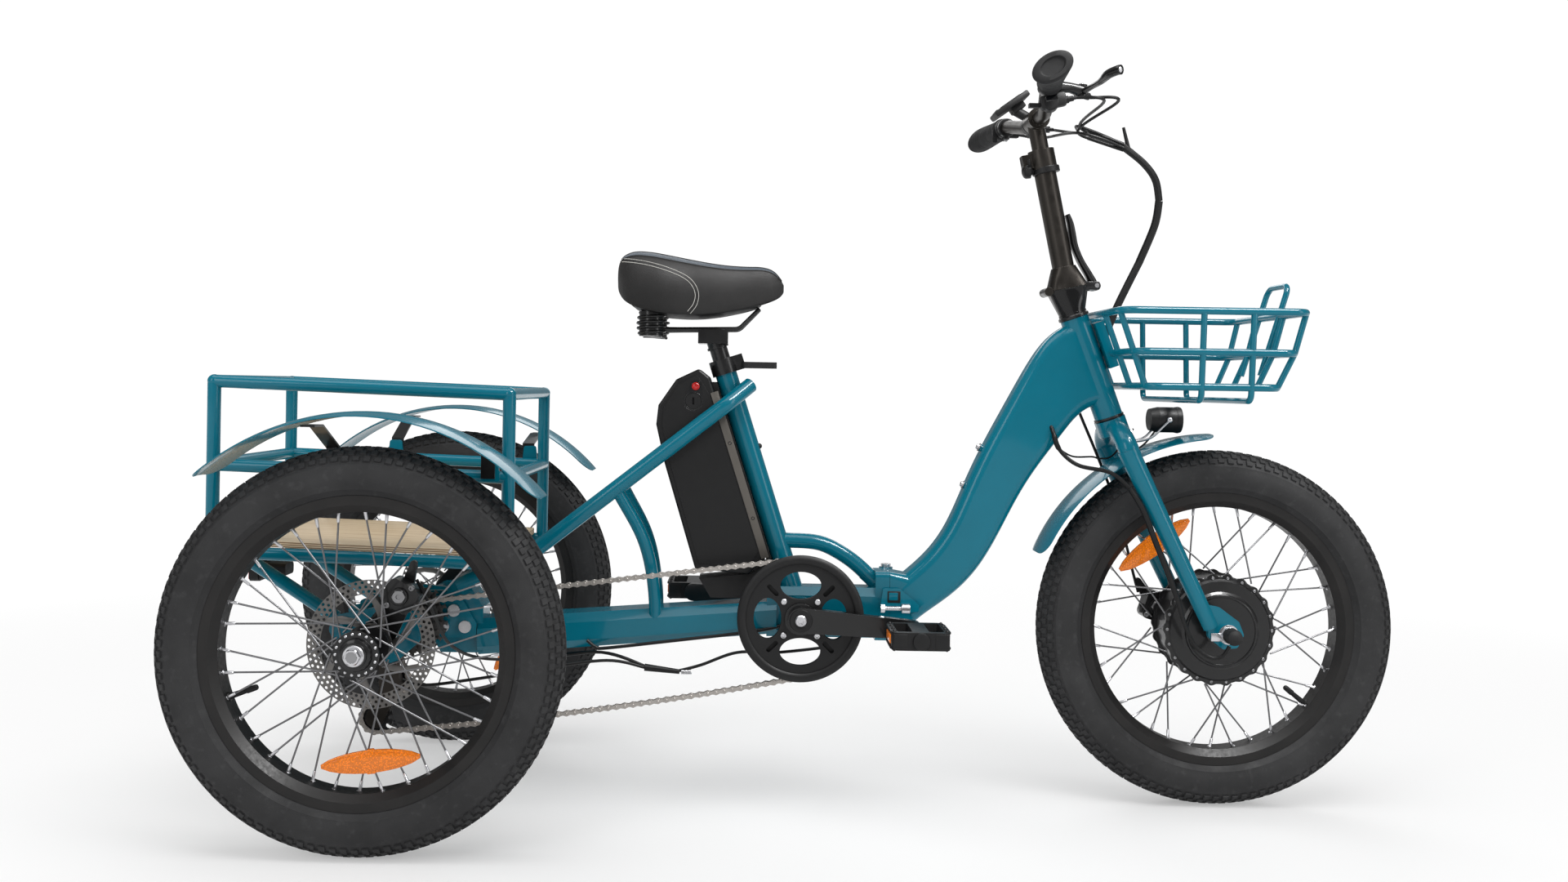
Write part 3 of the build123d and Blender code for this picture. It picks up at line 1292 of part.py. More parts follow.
def make_grips():
    """Rubber grips with a flared outer end."""
    with BuildPart() as grips:
        for side in (1, -1):
            inner, flare, outer = (bar_point(side * y) for y in (178, 252, 283))
            with BuildSketch(Plane(origin=inner, z_dir=outer - inner)):
                Circle(16)
            with BuildSketch(Plane(origin=flare, z_dir=outer - inner)):
                Circle(17)
            loft()
            with BuildSketch(Plane(origin=flare, z_dir=outer - inner)):
                Circle(17)
            with BuildSketch(Plane(origin=outer, z_dir=outer - inner)):
                Circle(20)
            loft()
        for side in (1, -1):
            add(rod(bar_point(side * 170), bar_point(side * 275), BAR_RADIUS + 0.03),
                mode=Mode.SUBTRACT)
    return grips.part


LEVER_REACH = 44.0
LEVER_HINGE_Y = 152.0


def make_bar_controls():
    """Brake perches, display, shifter housing and throttle housing, clamped to the bar."""
    sleeves = [bar_sleeve(side * 154, side * 162, 15.0) for side in (1, -1)]
    sleeves.append(bar_sleeve(-163.5, -174, 17.0))
    sleeves.append(bar_sleeve(163.5, 174, 16.0))
    with BuildPart() as controls:
        add(sleeves)
        for side in (1, -1):
            anchor = bar_point(side * 156)
            with Locations((anchor.X + 27, side * 150, anchor.Z - 4)):
                Box(26, 16, 16)
        shifter = bar_point(-169)
        with Locations((shifter.X + 8, shifter.Y + 2, shifter.Z - 26)):
            Box(34, 14, 22)
        with Locations((BAR_CENTRE.X - 6, 46, BAR_CENTRE.Z + 24)):
            Box(44, 66, 12)
        with Locations((BAR_CENTRE.X, 40, BAR_CENTRE.Z)):
            Box(30, 14, 40)
        add(rod((BAR_CENTRE.X, 20, BAR_CENTRE.Z), (BAR_CENTRE.X, 58, BAR_CENTRE.Z),
                BAR_RADIUS + 0.1), mode=Mode.SUBTRACT)
    return controls.part


def lever_hinge(side):
    anchor = bar_point(side * 156)
    return anchor.X + LEVER_REACH + 6, side * LEVER_HINGE_Y, anchor.Z - 4


def make_brake_lever(side):
    """Brake lever blade in front of a grip."""
    x, y, z = lever_hinge(side)
    with BuildPart() as lever:
        with BuildSketch(Plane.XY.offset(z - 5)):
            with BuildLine():
                Polyline((x - 4, y - side * 8), (x + 9, y - side * 8), (x + 16, y + side * 20),
                         (x + 20, y + side * 88), (x + 26, y + side * 112),
                         (x + 15, y + side * 112), (x + 8, y + side * 88), (x + 5, y + side * 24),
                         (x - 4, y + side * 10), close=True)
            make_face()
            fillet(vertices(), radius=3)
        extrude(amount=10)
    return lever.part


def make_throttle_lever():
    """Thumb throttle paddle on its ring, inboard of the left grip."""
    base = bar_point(168)
    ring = bar_sleeve(174.2, 175.7, 15.5)
    with BuildPart() as throttle:
        add(ring)
        with Locations((base.X - 16, base.Y + 7, base.Z - 12)):
            Box(8, 1.4, 22)
    return throttle.part


def make_shifter_lever():
    base = bar_point(-169)
    with BuildPart() as shifter:
        with Locations((base.X - 20, base.Y + 2, base.Z - 30)):
            Box(16, 10, 6)
    return shifter.part


def make_headlight():
    """Round lamp on a bracket from the crown."""
    with BuildPart() as lamp:
        with BuildSketch(section_plane(521, 0, 600)):
            Circle(17)
        with BuildSketch(section_plane(534, 0, 600)):
            Circle(20)
        loft()
        with BuildSketch(section_plane(534, 0, 600)):
            Circle(20)
        extrude(amount=35)
        fillet(lamp.edges().sort_by(Axis.X)[-1], radius=3)
    return lamp.part


def make_front_caliper():
    return caliper(FRONT_CALIPER, FRONT_AXLE_X, FRONT_ROTOR_Y, FRONT_ROTOR_RADIUS, -1,
                   (53.4, 55.6), 16)


def make_front_fender():
    return fender_arc(FRONT_AXLE_X, 0, 303.0, 47.0, 6.0, 92.0, 158.0)


# ---- frame latch --------------------------------------------------------------------

def make_frame_latch():
    """Side lever that holds the frame hinge shut."""
    with BuildPart() as latch:
        with BuildSketch(side_plane(-HINGE_HALF_WIDTH - 0.3)):
            with BuildLine():
                Polyline((99, 297), (160, 297), (160, 309), (130, 333), (104, 333), close=True)
            make_face()
            fillet(vertices(), radius=4)
        extrude(amount=7)
    return latch.part


# ---- build --------------------------------------------------------------------------

def build_all():
    os.makedirs("parts", exist_ok=True)
    for name, side in (("right", -1), ("left", 1)):
        y = side * WHEEL_Y
        save(make_tyre(REAR_AXLE_X, y), f"{name}_tyre")
        save(make_laced_rim(REAR_AXLE_X, y, REAR_FLANGE_RADIUS, REAR_FLANGE_Y, 62),
             f"{name}_laced_rim")
        save(make_rear_hub(side), f"{name}_hub")
        save(make_rotor(REAR_AXLE_X, side * REAR_ROTOR_Y, REAR_ROTOR_RADIUS, REAR_ROTOR_BORE),
             f"{name}_rotor")
        save(make_pedal(side), f"{name}_pedal")
        save(make_brake_lever(side), f"{name}_brake_lever")
    save(make_tyre(FRONT_AXLE_X, 0), "front_tyre")
    save(make_laced_rim(FRONT_AXLE_X, 0, MOTOR_FLANGE_RADIUS, MOTOR_FLANGE_Y, 24),
         "front_laced_rim")
    save(make_rotor(FRONT_AXLE_X, FRONT_ROTOR_Y, FRONT_ROTOR_RADIUS, FRONT_ROTOR_BORE),
         "front_rotor")
    save(make_front_motor(), "front_hub_motor")
    save(make_front_axle(), "front_axle")
    save(make_rear_axle(), "rear_axle")
    save(make_rear_frame(), "rear_frame")
    save(make_axle_carrier(), "axle_carrier")
    save(make_bearings(), "bearings")
    save(make_bolts(), "bolts")
    save(make_seat_collar(), "seat_collar")
    save(make_cargo_rack(), "cargo_rack")
    save(make_cargo_deck(), "cargo_deck")
    save(make_rear_fenders(), "rear_fenders")
    save(make_fender_straps(), "fender_straps")
    save(make_tail_light(), "tail_light")
    save(make_cassette(), "cassette")
    save(make_chainring(), "chainring")
    save(make_crankset(), "crankset")
    save(make_pulley(GUIDE_CENTRE), "guide_pulley")
    save(make_pulley(TENSION_CENTRE), "tension_pulley")
    save(make_derailleur(), "derailleur")
    save(make_chain(), "chain")
    save(make_rear_calipers(), "rear_calipers")
    save(make_rear_brake_arms(), "rear_brake_arms")
    save(make_front_caliper(), "front_caliper")
    save(make_brake_arm(FRONT_CALIPER, 70.1, 76, 120), "front_brake_arm")
    save(make_saddle(), "saddle")
    save(make_seat_post(), "seat_post")
    save(make_saddle_mount(), "saddle_mount")
    save(make_seat_lever(), "seat_lever")
    save(make_battery_pack(), "battery_pack")
    save(cross_cylinder(*BATTERY_BUTTON, -39.5, -33, 6.0), "battery_button")
    save(make_battery_key(), "battery_key")
    save(make_battery_rail(), "battery_rail")
    save(make_front_frame(), "front_frame")
    save(make_front_basket(), "front_basket")
    save(make_fork(), "fork")
    save(make_handlepost(), "handlepost")
    save(make_stem_lever(), "stem_lever")
    save(make_handlebar(), "handlebar")
    save(make_grips(), "grips")
    save(make_bar_controls(), "bar_controls")
    save(make_throttle_lever(), "throttle_lever")
    save(make_shifter_lever(), "shifter_lever")
    save(make_headlight(), "headlight")
    save(make_front_fender(), "front_fender")
    save(make_frame_latch(), "frame_latch")


build_all()
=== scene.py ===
"""Studio scene of a folding electric adult tricycle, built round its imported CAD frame.

Lengths are millimetres in the row frame unless a name says otherwise. Shape.build turns
them into metres. +X is forward, +Y is the rider's left and +Z is up.
"""
import bmesh
import bpy
import json
import math
from mathutils import Matrix, Vector
from mathutils.bvhtree import BVHTree


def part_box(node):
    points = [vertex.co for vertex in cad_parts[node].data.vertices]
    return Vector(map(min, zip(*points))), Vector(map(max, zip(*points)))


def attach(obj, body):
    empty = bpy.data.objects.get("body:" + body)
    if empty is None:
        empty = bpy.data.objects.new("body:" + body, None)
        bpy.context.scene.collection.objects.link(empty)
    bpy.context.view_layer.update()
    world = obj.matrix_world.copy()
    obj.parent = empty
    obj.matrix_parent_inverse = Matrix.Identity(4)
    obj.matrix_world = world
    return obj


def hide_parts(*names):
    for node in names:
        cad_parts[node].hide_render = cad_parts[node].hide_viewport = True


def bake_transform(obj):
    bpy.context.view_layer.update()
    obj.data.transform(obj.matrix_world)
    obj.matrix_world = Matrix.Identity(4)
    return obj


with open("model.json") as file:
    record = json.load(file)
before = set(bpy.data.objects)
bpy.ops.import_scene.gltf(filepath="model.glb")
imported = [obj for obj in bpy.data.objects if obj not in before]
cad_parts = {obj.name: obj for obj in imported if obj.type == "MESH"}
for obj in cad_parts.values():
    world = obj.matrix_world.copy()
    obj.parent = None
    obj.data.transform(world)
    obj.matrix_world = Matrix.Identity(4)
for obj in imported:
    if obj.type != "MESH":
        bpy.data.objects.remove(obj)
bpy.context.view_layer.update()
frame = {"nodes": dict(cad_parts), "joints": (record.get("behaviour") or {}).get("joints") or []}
MM = 1000.0
NODES = frame["nodes"]
JOINTS = {joint["name"]: joint for joint in frame["joints"]}


# ---- where things are ---------------------------------------------------------------

def pivot(joint):
    return Vector(JOINTS[joint]["pos_m"]) * MM


def low(node):
    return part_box(node)[0] * MM


def high(node):
    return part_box(node)[1] * MM


def middle(node):
    return (low(node) + high(node)) / 2


REAR_AXLE = pivot("right_wheel_spin")
FRONT_AXLE = pivot("front_wheel_spin")
BRACKET = pivot("crank_spin")
GUIDE = pivot("guide_pulley_spin")
TENSION = pivot("tension_pulley_spin")
HEAD_AXIS = Vector(JOINTS["steer"]["axis"])
STEM_AXIS = Vector(JOINTS["bar_height"]["axis"])
SEAT_AXIS = Vector(JOINTS["seat_height"]["axis"])
WHEEL_RADIUS = high("front_tyre").z - FRONT_AXLE.z


# ---- mesh building ------------------------------------------------------------------

def polar(radius, degrees):
    angle = math.radians(degrees)
    return radius * math.cos(angle), radius * math.sin(angle)


def facing(place, direction):
    """Matrix whose local Z points along direction, at place."""
    turn = Vector(direction).to_track_quat("Z", "Y").to_matrix().to_4x4()
    return Matrix.Translation(Vector(place)) @ turn


def side_view(x, z, y):
    """Matrix whose local X is forward, local Y is up and local Z points to the right side."""
    return Matrix(((1, 0, 0, x), (0, 0, -1, y), (0, 1, 0, z), (0, 0, 0, 1)))


def wheel_place(centre):
    return side_view(centre.x, centre.z, centre.y)


def smooth_path(points, steps=8, closed=False):
    """Points of a Catmull-Rom curve through the given ones."""
    points = [Vector(p) for p in points]
    count = len(points)
    path = []
    for i in range(count if closed else count - 1):
        if closed:
            a, b, c, d = (points[(i + k) % count] for k in (-1, 0, 1, 2))
        else:
            a, b = points[max(i - 1, 0)], points[i]
            c, d = points[i + 1], points[min(i + 2, count - 1)]
        for step in range(steps):
            t = step / steps
            path.append(0.5 * (2 * b + (c - a) * t + (2 * a - 5 * b + 4 * c - d) * t * t
                               + (3 * b - a - 3 * c + d) * t ** 3))
    if not closed:
        path.append(points[-1])
    return path


def skin(rings, closed=False, capped=True):
    """Faces between equal rings of points; closed joins the last ring to the first."""
    sides = len(rings[0])
    points = [p for ring in rings for p in ring]
    faces = []
    spans = len(rings) if closed else len(rings) - 1
    for i in range(spans):
        a, b = i * sides, (i + 1) % len(rings) * sides
        for k in range(sides):
            n = (k + 1) % sides
            faces.append((a + k, a + n, b + n, b + k))
    if capped and not closed:
        faces.append(tuple(range(sides))[::-1])
        faces.append(tuple(range(len(points) - sides, len(points))))
    return points, faces


def lathe(profile, sides=64, closed=False):
    """Turned solid about local Z from (height, radius) points; a radius may be a function."""
    rings = []
    for height, radius in profile:
        ring = []
        for k in range(sides):
            angle = 360 * k / sides
            r = radius(angle) if callable(radius) else radius
            ring.append((*polar(r, angle), height))
        rings.append(ring)
    return skin(rings, closed)


def tube(path, radius, sides=12, closed=False):
    """Round tube along a path; radius may be a function of the share of its length."""
    path = [Vector(p) for p in path]
    count = len(path)
    rings = []
    across = None
    for i, point in enumerate(path):
        before = path[i - 1] if closed or i else path[0]
        after = path[(i + 1) % count] if closed else path[min(i + 1, count - 1)]
        along = (after - before).normalized()
        if across is None:
            across = along.orthogonal().normalized()
        across = (across - along * across.dot(along)).normalized()
        other = along.cross(across)
        r = radius(i / (count - 1)) if callable(radius) else radius
        rings.append([point + across * x + other * y
                      for x, y in (polar(r, 360 * k / sides) for k in range(sides))])
    return skin(rings, closed)


def block(length, width, height, bevel=1.0):
    """Box with chamfered edges, centred on the local origin."""
    half = (length / 2, width / 2, height / 2)
    keys = [(sx, sy, sz) for sx in (-1, 1) for sy in (-1, 1) for sz in (-1, 1)]
    made = bmesh.new()
    verts = [made.verts.new((k[0] * half[0], k[1] * half[1], k[2] * half[2])) for k in keys]
    bmesh.ops.convex_hull(made, input=verts)
    bmesh.ops.dissolve_limit(made, angle_limit=0.01, verts=made.verts[:], edges=made.edges[:])
    bmesh.ops.bevel(made, geom=made.edges[:], offset=bevel, segments=2, profile=0.5,
                    affect="EDGES")
    return from_bmesh(made)


def from_bmesh(made):
    made.verts.index_update()
    points = [v.co.copy() for v in made.verts]
    faces = [[v.index for v in face.verts] for face in made.faces]
    made.free()
    return points, faces


def plate(outline, thickness, bevel=0.6, segments=2):
    """Flat piece from an outline in local X and Y, rising from local Z 0, edges rounded."""
    made = bmesh.new()
    face = made.faces.new([made.verts.new((x, y, 0)) for x, y in outline])
    grown = bmesh.ops.extrude_face_region(made, geom=[face])
    raised = [item for item in grown["geom"] if isinstance(item, bmesh.types.BMVert)]
    bmesh.ops.translate(made, verts=raised, vec=(0, 0, thickness))
    if bevel:
        rims = [e for e in made.edges if abs(e.verts[0].co.z - e.verts[1].co.z) < 1e-6]
        bmesh.ops.bevel(made, geom=rims, offset=bevel, segments=segments, profile=0.5,
                        affect="EDGES")
    return from_bmesh(made)


def hexagon(radius):
    """Radius of a hexagon's wall at each angle, for turned profiles."""
    return lambda angle: radius * math.cos(math.radians(30)) / math.cos(
        math.radians((angle % 60) - 30))


def socket_screw(radius, height):
    """Cap screw head standing on local Z 0, with a hexagon socket."""
    chamfer = radius * 0.18
    profile = [(-1.0, radius), (height - chamfer, radius), (height, radius - chamfer),
               (height, radius * 0.58), (height - 0.2, hexagon(radius * 0.54)),
               (height * 0.4, hexagon(radius * 0.54))]
    return lathe(profile, 24)


def hex_nut(radius, height, hole=0.5):
    """Hexagon nut standing on local Z 0, round a bore of this share of its radius."""
    chamfer = radius * 0.12
    profile = [(-0.5, hexagon(radius)), (height - chamfer, hexagon(radius)),
               (height, radius * 0.84), (height, radius * hole), (height * 0.3, radius * hole)]
    return lathe(profile, 24)


def dome(radius, height, sides=24):
    """Domed button standing on local Z 0."""
    steps = 5
    profile = [(-0.5, radius)]
    for i in range(steps):
        angle = math.radians(80 * i / (steps - 1))
        profile.append((height * math.sin(angle), radius * math.cos(angle)))
    return lathe(profile, sides)


class Shape:
    """Collects solids for one piece."""

    def __init__(self):
        self.points = []
        self.faces = []
        self.tints = []

    def add(self, solid, place=None, tint=0):
        points, faces = solid
        start = len(self.points)
        self.points += [place @ Vector(p) if place else Vector(p) for p in points]
        self.faces += [[start + i for i in face] for face in faces]
        self.tints += [tint] * len(faces)
        return self

    def build(self, name, body, *materials, sharp=35, stands_for=()):
        mesh = bpy.data.meshes.new(name)
        mesh.from_pydata([p / MM for p in self.points], [], self.faces)
        for material in materials:
            mesh.materials.append(material)
        mesh.polygons.foreach_set("material_index", self.tints)
        tidy = bmesh.new()
        tidy.from_mesh(mesh)
        bmesh.ops.recalc_face_normals(tidy, faces=tidy.faces)
        tidy.to_mesh(mesh)
        tidy.free()
        mesh.shade_smooth()
        mesh.set_sharp_from_angle(angle=math.radians(sharp))
        piece = bpy.data.objects.new(name, mesh)
        bpy.context.scene.collection.objects.link(piece)
        if isinstance(body, str):
            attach(piece, body)
        if stands_for:
            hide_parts(*stands_for)
        return piece


# ---- materials ----------------------------------------------------------------------

def rgb(red, green, blue):
    """Linear colour from 0 to 255 display values."""
    return tuple((c / 255) ** 2.2 for c in (red, green, blue))


class Finish:
    """A procedural material, wired up step by step round one Principled shader."""

    def __init__(self, name, colour, roughness, metallic=0.0, coat=0.0):
        self.material = bpy.data.materials.new(name)
        self.material.use_nodes = True
        self.material.diffuse_color = (*colour, 1)
        self.tree = self.material.node_tree
        self.shader = self.tree.nodes["Principled BSDF"]
        self.shader.inputs["Metallic"].default_value = metallic
        self.shader.inputs["Coat Weight"].default_value = coat
        self.shader.inputs["Coat Roughness"].default_value = 0.06
        self.shader.inputs["Specular IOR Level"].default_value = 0.5 if metallic else 0.3
        self.shader.inputs["Roughness"].default_value = roughness
        self.shader.inputs["Base Color"].default_value = (*colour, 1)
        self.roughness = roughness
        self.colour = colour
        self.paint = None
        self.normal = None
        self.place = self.node("TexCoord").outputs["Object"]

    def node(self, kind, **settings):
        made = self.tree.nodes.new("ShaderNode" + kind)
        for key, value in settings.items():
            setattr(made, key, value)
        return made

    def link(self, source, node, socket):
        self.tree.links.new(source, node.inputs[socket])

    def noise(self, size, detail=3.0, stretch=(1, 1, 1)):
        """Noise whose features are about this many millimetres across."""
        spread = self.node("Mapping")
        spread.inputs["Scale"].default_value = [MM / size * s for s in stretch]
        self.link(self.place, spread, "Vector")
        noise = self.node("TexNoise")
        noise.inputs["Scale"].default_value = 1.0
        noise.inputs["Detail"].default_value = detail
        self.link(spread.outputs[0], noise, "Vector")
        return noise.outputs["Fac"]

    def axis(self, name):
        """One coordinate in millimetres."""
        split = self.node("SeparateXYZ")
        self.link(self.place, split, 0)
        return self.maths("MULTIPLY", split.outputs[name], MM)

    def maths(self, operation, *values):
        made = self.node("Math", operation=operation)
        for i, value in enumerate(values):
            if isinstance(value, (int, float)):
                made.inputs[i].default_value = value
            else:
                self.link(value, made, i)
        return made.outputs[0]

    def ramp(self, source, start, end, low_value=0.0, high_value=1.0):
        made = self.node("MapRange", clamp=True)
        self.link(source, made, "Value")
        for socket, value in zip(("From Min", "From Max", "To Min", "To Max"),
                                 (start, end, low_value, high_value)):
            made.inputs[socket].default_value = value
        return made.outputs[0]

    def tint(self, share, colour):
        """Mixes this colour in by the share."""
        mix = self.node("Mix", data_type="RGBA")
        self.link(share, mix, "Factor")
        if self.paint:
            self.link(self.paint, mix, "A")
        else:
            mix.inputs["A"].default_value = (*self.colour, 1)
        mix.inputs["B"].default_value = (*colour, 1)
        self.paint = mix.outputs["Result"]
        self.link(self.paint, self.shader, "Base Color")
        return self

    def rough(self, share, most):
        """Roughness rises to most where the share is 1."""
        self.link(self.ramp(share, 0, 1, self.roughness, most), self.shader, "Roughness")
        return self

    def bump(self, height, depth, strength=1.0):
        """Relief of this depth in millimetres."""
        made = self.node("Bump")
        made.inputs["Distance"].default_value = depth / MM
        made.inputs["Strength"].default_value = strength
        self.link(height, made, "Height")
        if self.normal:
            self.link(self.normal, made, "Normal")
        self.normal = made.outputs[0]
        self.link(self.normal, self.shader, "Normal")
        return self

    def soft_edges(self, radius):
        """Rounds hard edges in shading; returns how close each point is to one."""
        bevel = self.node("Bevel", samples=4)
        bevel.inputs["Radius"].default_value = radius / MM
        self.normal = bevel.outputs[0]
        self.link(self.normal, self.shader, "Normal")
        geometry = self.node("NewGeometry")
        dot = self.node("VectorMath", operation="DOT_PRODUCT")
        self.link(bevel.outputs[0], dot, 0)
        self.link(geometry.outputs["Normal"], dot, 1)
        return self.ramp(dot.outputs["Value"], 0.99, 0.8)


def mottled(name, colour, roughness, metallic=0.0, coat=0.0, grain=0.05, grain_size=1.2,
            worn=None, edge=0.6, spread=0.12, shade=0.75):
    """General finish: soft colour variation, fine grain, rounded and lightly worn edges."""
    finish = Finish(name, colour, roughness, metallic, coat)
    near_edge = finish.soft_edges(edge)
    cloud = finish.noise(60, 4)
    finish.tint(finish.ramp(cloud, 0.35, 0.75, 0, 0.5), tuple(c * shade for c in colour))
    if worn:
        scuffs = finish.maths("MULTIPLY", near_edge, finish.ramp(finish.noise(6, 5), 0.5, 0.62))
        finish.tint(scuffs, worn)
    finish.rough(finish.ramp(finish.noise(14, 5), 0.35, 0.7), roughness + spread)
    finish.bump(finish.noise(grain_size, 3), grain)
    return finish


TEAL = rgb(0, 106, 126)
BLACK = rgb(24, 24, 25)


def paint(name):
    finish = mottled(name, TEAL, 0.22, coat=0.35, grain=0.02, grain_size=3.0,
                     edge=1.2, spread=0.05, shade=0.86)
    finish.bump(finish.noise(9, 2), 0.03, 0.5)
    finish.shader.inputs["Specular IOR Level"].default_value = 0.15
    return finish


def fork_paint():
    """Teal on the fork, black on the stem joint above the head tube."""
    finish = paint("fork_paint")
    top = pivot("steer")
    height = finish.node("VectorMath", operation="DOT_PRODUCT")
    finish.link(finish.place, height, 0)
    height.inputs[1].default_value = HEAD_AXIS * MM
    finish.tint(finish.ramp(height.outputs["Value"], top.dot(HEAD_AXIS) + 0.5,
                            top.dot(HEAD_AXIS) + 1.0), BLACK)
    return finish


def ring_share(finish, centre, radius, width=1.0):
    """1 inside this radius round a wheel's axis, 0 outside."""
    dx = finish.maths("SUBTRACT", finish.axis("X"), centre.x)
    dz = finish.maths("SUBTRACT", finish.axis("Z"), centre.z)
    squares = finish.maths("ADD", finish.maths("MULTIPLY", dx, dx),
                           finish.maths("MULTIPLY", dz, dz))
    reach = finish.maths("SQRT", squares)
    return finish.ramp(reach, radius - width, radius + width, 1, 0), reach


def brushed(name, colour, roughness, centre=None, size=1.0):
    """Bare metal; round a centre its brushing runs in circles."""
    finish = Finish(name, colour, roughness, 1.0)
    finish.soft_edges(0.4)
    if centre is None:
        lines = finish.noise(size, 4, (1, 1, 12))
    else:
        reach = ring_share(finish, centre, 1)[1]
        wave = finish.node("TexNoise", noise_dimensions="1D")
        wave.inputs["Scale"].default_value = 1.6
        wave.inputs["Detail"].default_value = 6
        finish.link(reach, wave, "W")
        lines = wave.outputs["Fac"]
    finish.tint(finish.ramp(finish.noise(25, 4), 0.4, 0.8, 0, 0.35),
                tuple(c * 0.6 for c in colour))
    finish.rough(lines, roughness + 0.25)
    finish.bump(lines, 0.02)
    return finish


def laced_rim_finish(name, centre):
    """Black rim with bare steel spokes inside it."""
    finish = Finish(name, rgb(30, 29, 29), 0.34)
    finish.soft_edges(0.6)
    inside = ring_share(finish, centre, WHEEL_RADIUS - 88.2, 0.4)[0]
    finish.tint(finish.ramp(finish.noise(40, 4), 0.4, 0.8, 0, 0.5), rgb(44, 42, 41))
    finish.tint(inside, rgb(120, 120, 122))
    finish.link(inside, finish.shader, "Metallic")
    finish.rough(finish.ramp(finish.noise(5, 4), 0.3, 0.7), 0.5)
    finish.bump(finish.noise(1.5, 3), 0.03)
    return finish


def tyre_rubber():
    finish = Finish("tyre_rubber", rgb(40, 40, 41), 0.62)
    finish.tint(finish.ramp(finish.noise(90, 5), 0.35, 0.7, 0, 0.8), rgb(53, 53, 54))
    finish.tint(finish.ramp(finish.noise(12, 6), 0.56, 0.75, 0, 0.35), rgb(70, 70, 71))
    finish.rough(finish.ramp(finish.noise(25, 5), 0.3, 0.7), 0.82)
    finish.bump(finish.noise(1.4, 4), 0.18)
    finish.bump(finish.noise(30, 2), 0.5, 0.4)
    return finish


def plywood():
    """Birch ply: long grain on the faces and dark glue lines round the edge."""
    finish = Finish("plywood", rgb(226, 204, 172), 0.42, coat=0.25)
    grain = finish.noise(9, 6, (0.06, 1, 0.2))
    finish.tint(finish.ramp(grain, 0.42, 0.68, 0, 0.7), rgb(196, 165, 124))
    finish.tint(finish.ramp(finish.noise(2.2, 4, (0.05, 1, 1)), 0.58, 0.7, 0, 0.5),
                rgb(166, 132, 95))
    slope = (high("cargo_deck").z - low("cargo_deck").z - 9.0) / (
        high("cargo_deck").x - low("cargo_deck").x)
    level = finish.maths("ADD", finish.axis("Z"), finish.maths("MULTIPLY", finish.axis("X"), slope))
    ply = finish.maths("SINE", finish.maths("MULTIPLY", level, 2 * math.pi / 3.0))
    side = finish.node("SeparateXYZ")
    finish.link(finish.node("NewGeometry").outputs["Normal"], side, 0)
    upright = finish.ramp(finish.maths("ABSOLUTE", side.outputs["Z"]), 0.5, 0.7, 1, 0)
    finish.tint(finish.maths("MULTIPLY", upright, finish.ramp(ply, 0.1, 0.6)), rgb(122, 86, 52))
    finish.bump(grain, 0.12)
    return finish


def lens(name, colour, cell=2.4):
    """Moulded prismatic reflector or lamp plastic, with a faint painted glow in its own colour."""
    finish = Finish(name, colour, 0.12, coat=0.6)
    cells = finish.node("TexVoronoi", feature="F1")
    cells.inputs["Scale"].default_value = MM / cell
    finish.link(finish.place, cells, "Vector")
    facets = cells.outputs["Distance"]
    finish.tint(finish.ramp(facets, 0.1, 0.6), tuple(min(1, c * 0.5) for c in colour))
    finish.rough(facets, 0.3)
    finish.bump(facets, 0.5)
    # Painted glow: the lens emits faintly in its own colour, though no lamp lights it.
    finish.shader.inputs["Emission Color"].default_value = (*colour, 1)
    finish.shader.inputs["Emission Strength"].default_value = 0.18
    return finish


def clear_plastic():
    finish = Finish("clear_lens", rgb(235, 238, 240), 0.05)
    finish.shader.inputs["Transmission Weight"].default_value = 0.85
    finish.rough(finish.noise(4, 3), 0.16)
    finish.bump(finish.noise(5, 2), 0.2)
    return finish


def vinyl(name, colour, sheen=0.0):
    """Soft saddle cover with a fine leather-like grain."""
    finish = Finish(name, colour, 0.46)
    cells = finish.node("TexVoronoi", feature="DISTANCE_TO_EDGE")
    cells.inputs["Scale"].default_value = MM / 1.5
    finish.link(finish.place, cells, "Vector")
    creases = finish.ramp(cells.outputs["Distance"], 0.0, 0.12)
    finish.tint(finish.ramp(finish.noise(35, 4), 0.35, 0.7, 0, 0.6),
                tuple(c * 1.5 for c in colour))
    finish.rough(finish.noise(8, 4), 0.6)
    finish.bump(creases, 0.1)
    finish.bump(finish.noise(20, 3), 0.4, 0.5)
    finish.shader.inputs["Sheen Weight"].default_value = sheen
    return finish


teal = paint("teal_paint").material
black_paint = mottled("black_paint", BLACK, 0.3, coat=0.3, worn=rgb(105, 105, 108)).material
moulded = mottled("moulded_black", rgb(27, 27, 28), 0.45, grain=0.08, grain_size=0.9).material
battery_shell = mottled("battery_shell", rgb(26, 26, 27), 0.36, grain=0.05, grain_size=0.7,
                        edge=1.5, spread=0.1).material
dark_alloy = mottled("dark_alloy", rgb(58, 55, 52), 0.3, 0.85, grain=0.02, spread=0.1,
                     worn=rgb(140, 136, 130)).material
rail_alloy = mottled("rail_alloy", rgb(96, 92, 87), 0.42, 0.5, grain=0.04, spread=0.1).material
grip_rubber = mottled("grip_rubber", rgb(36, 36, 37), 0.66, grain=0.15, grain_size=1.0).material
cable_cover = mottled("cable_cover", rgb(20, 20, 21), 0.4, grain=0.03, edge=0.3).material
bright_steel = brushed("bright_steel", rgb(205, 205, 208), 0.18).material
plain_steel = brushed("plain_steel", rgb(150, 150, 152), 0.3).material
chain_steel = brushed("chain_steel", rgb(176, 171, 166), 0.3).material
cog_steel = brushed("cog_steel", rgb(96, 95, 94), 0.35, REAR_AXLE).material
rear_disc = brushed("rear_disc", rgb(118, 116, 114), 0.3, REAR_AXLE).material
front_disc = brushed("front_disc", rgb(118, 116, 114), 0.3, FRONT_AXLE).material
rubber = tyre_rubber().material
amber = lens("amber_lens", rgb(250, 130, 12)).material
red_lens = lens("red_lens", rgb(190, 14, 14)).material
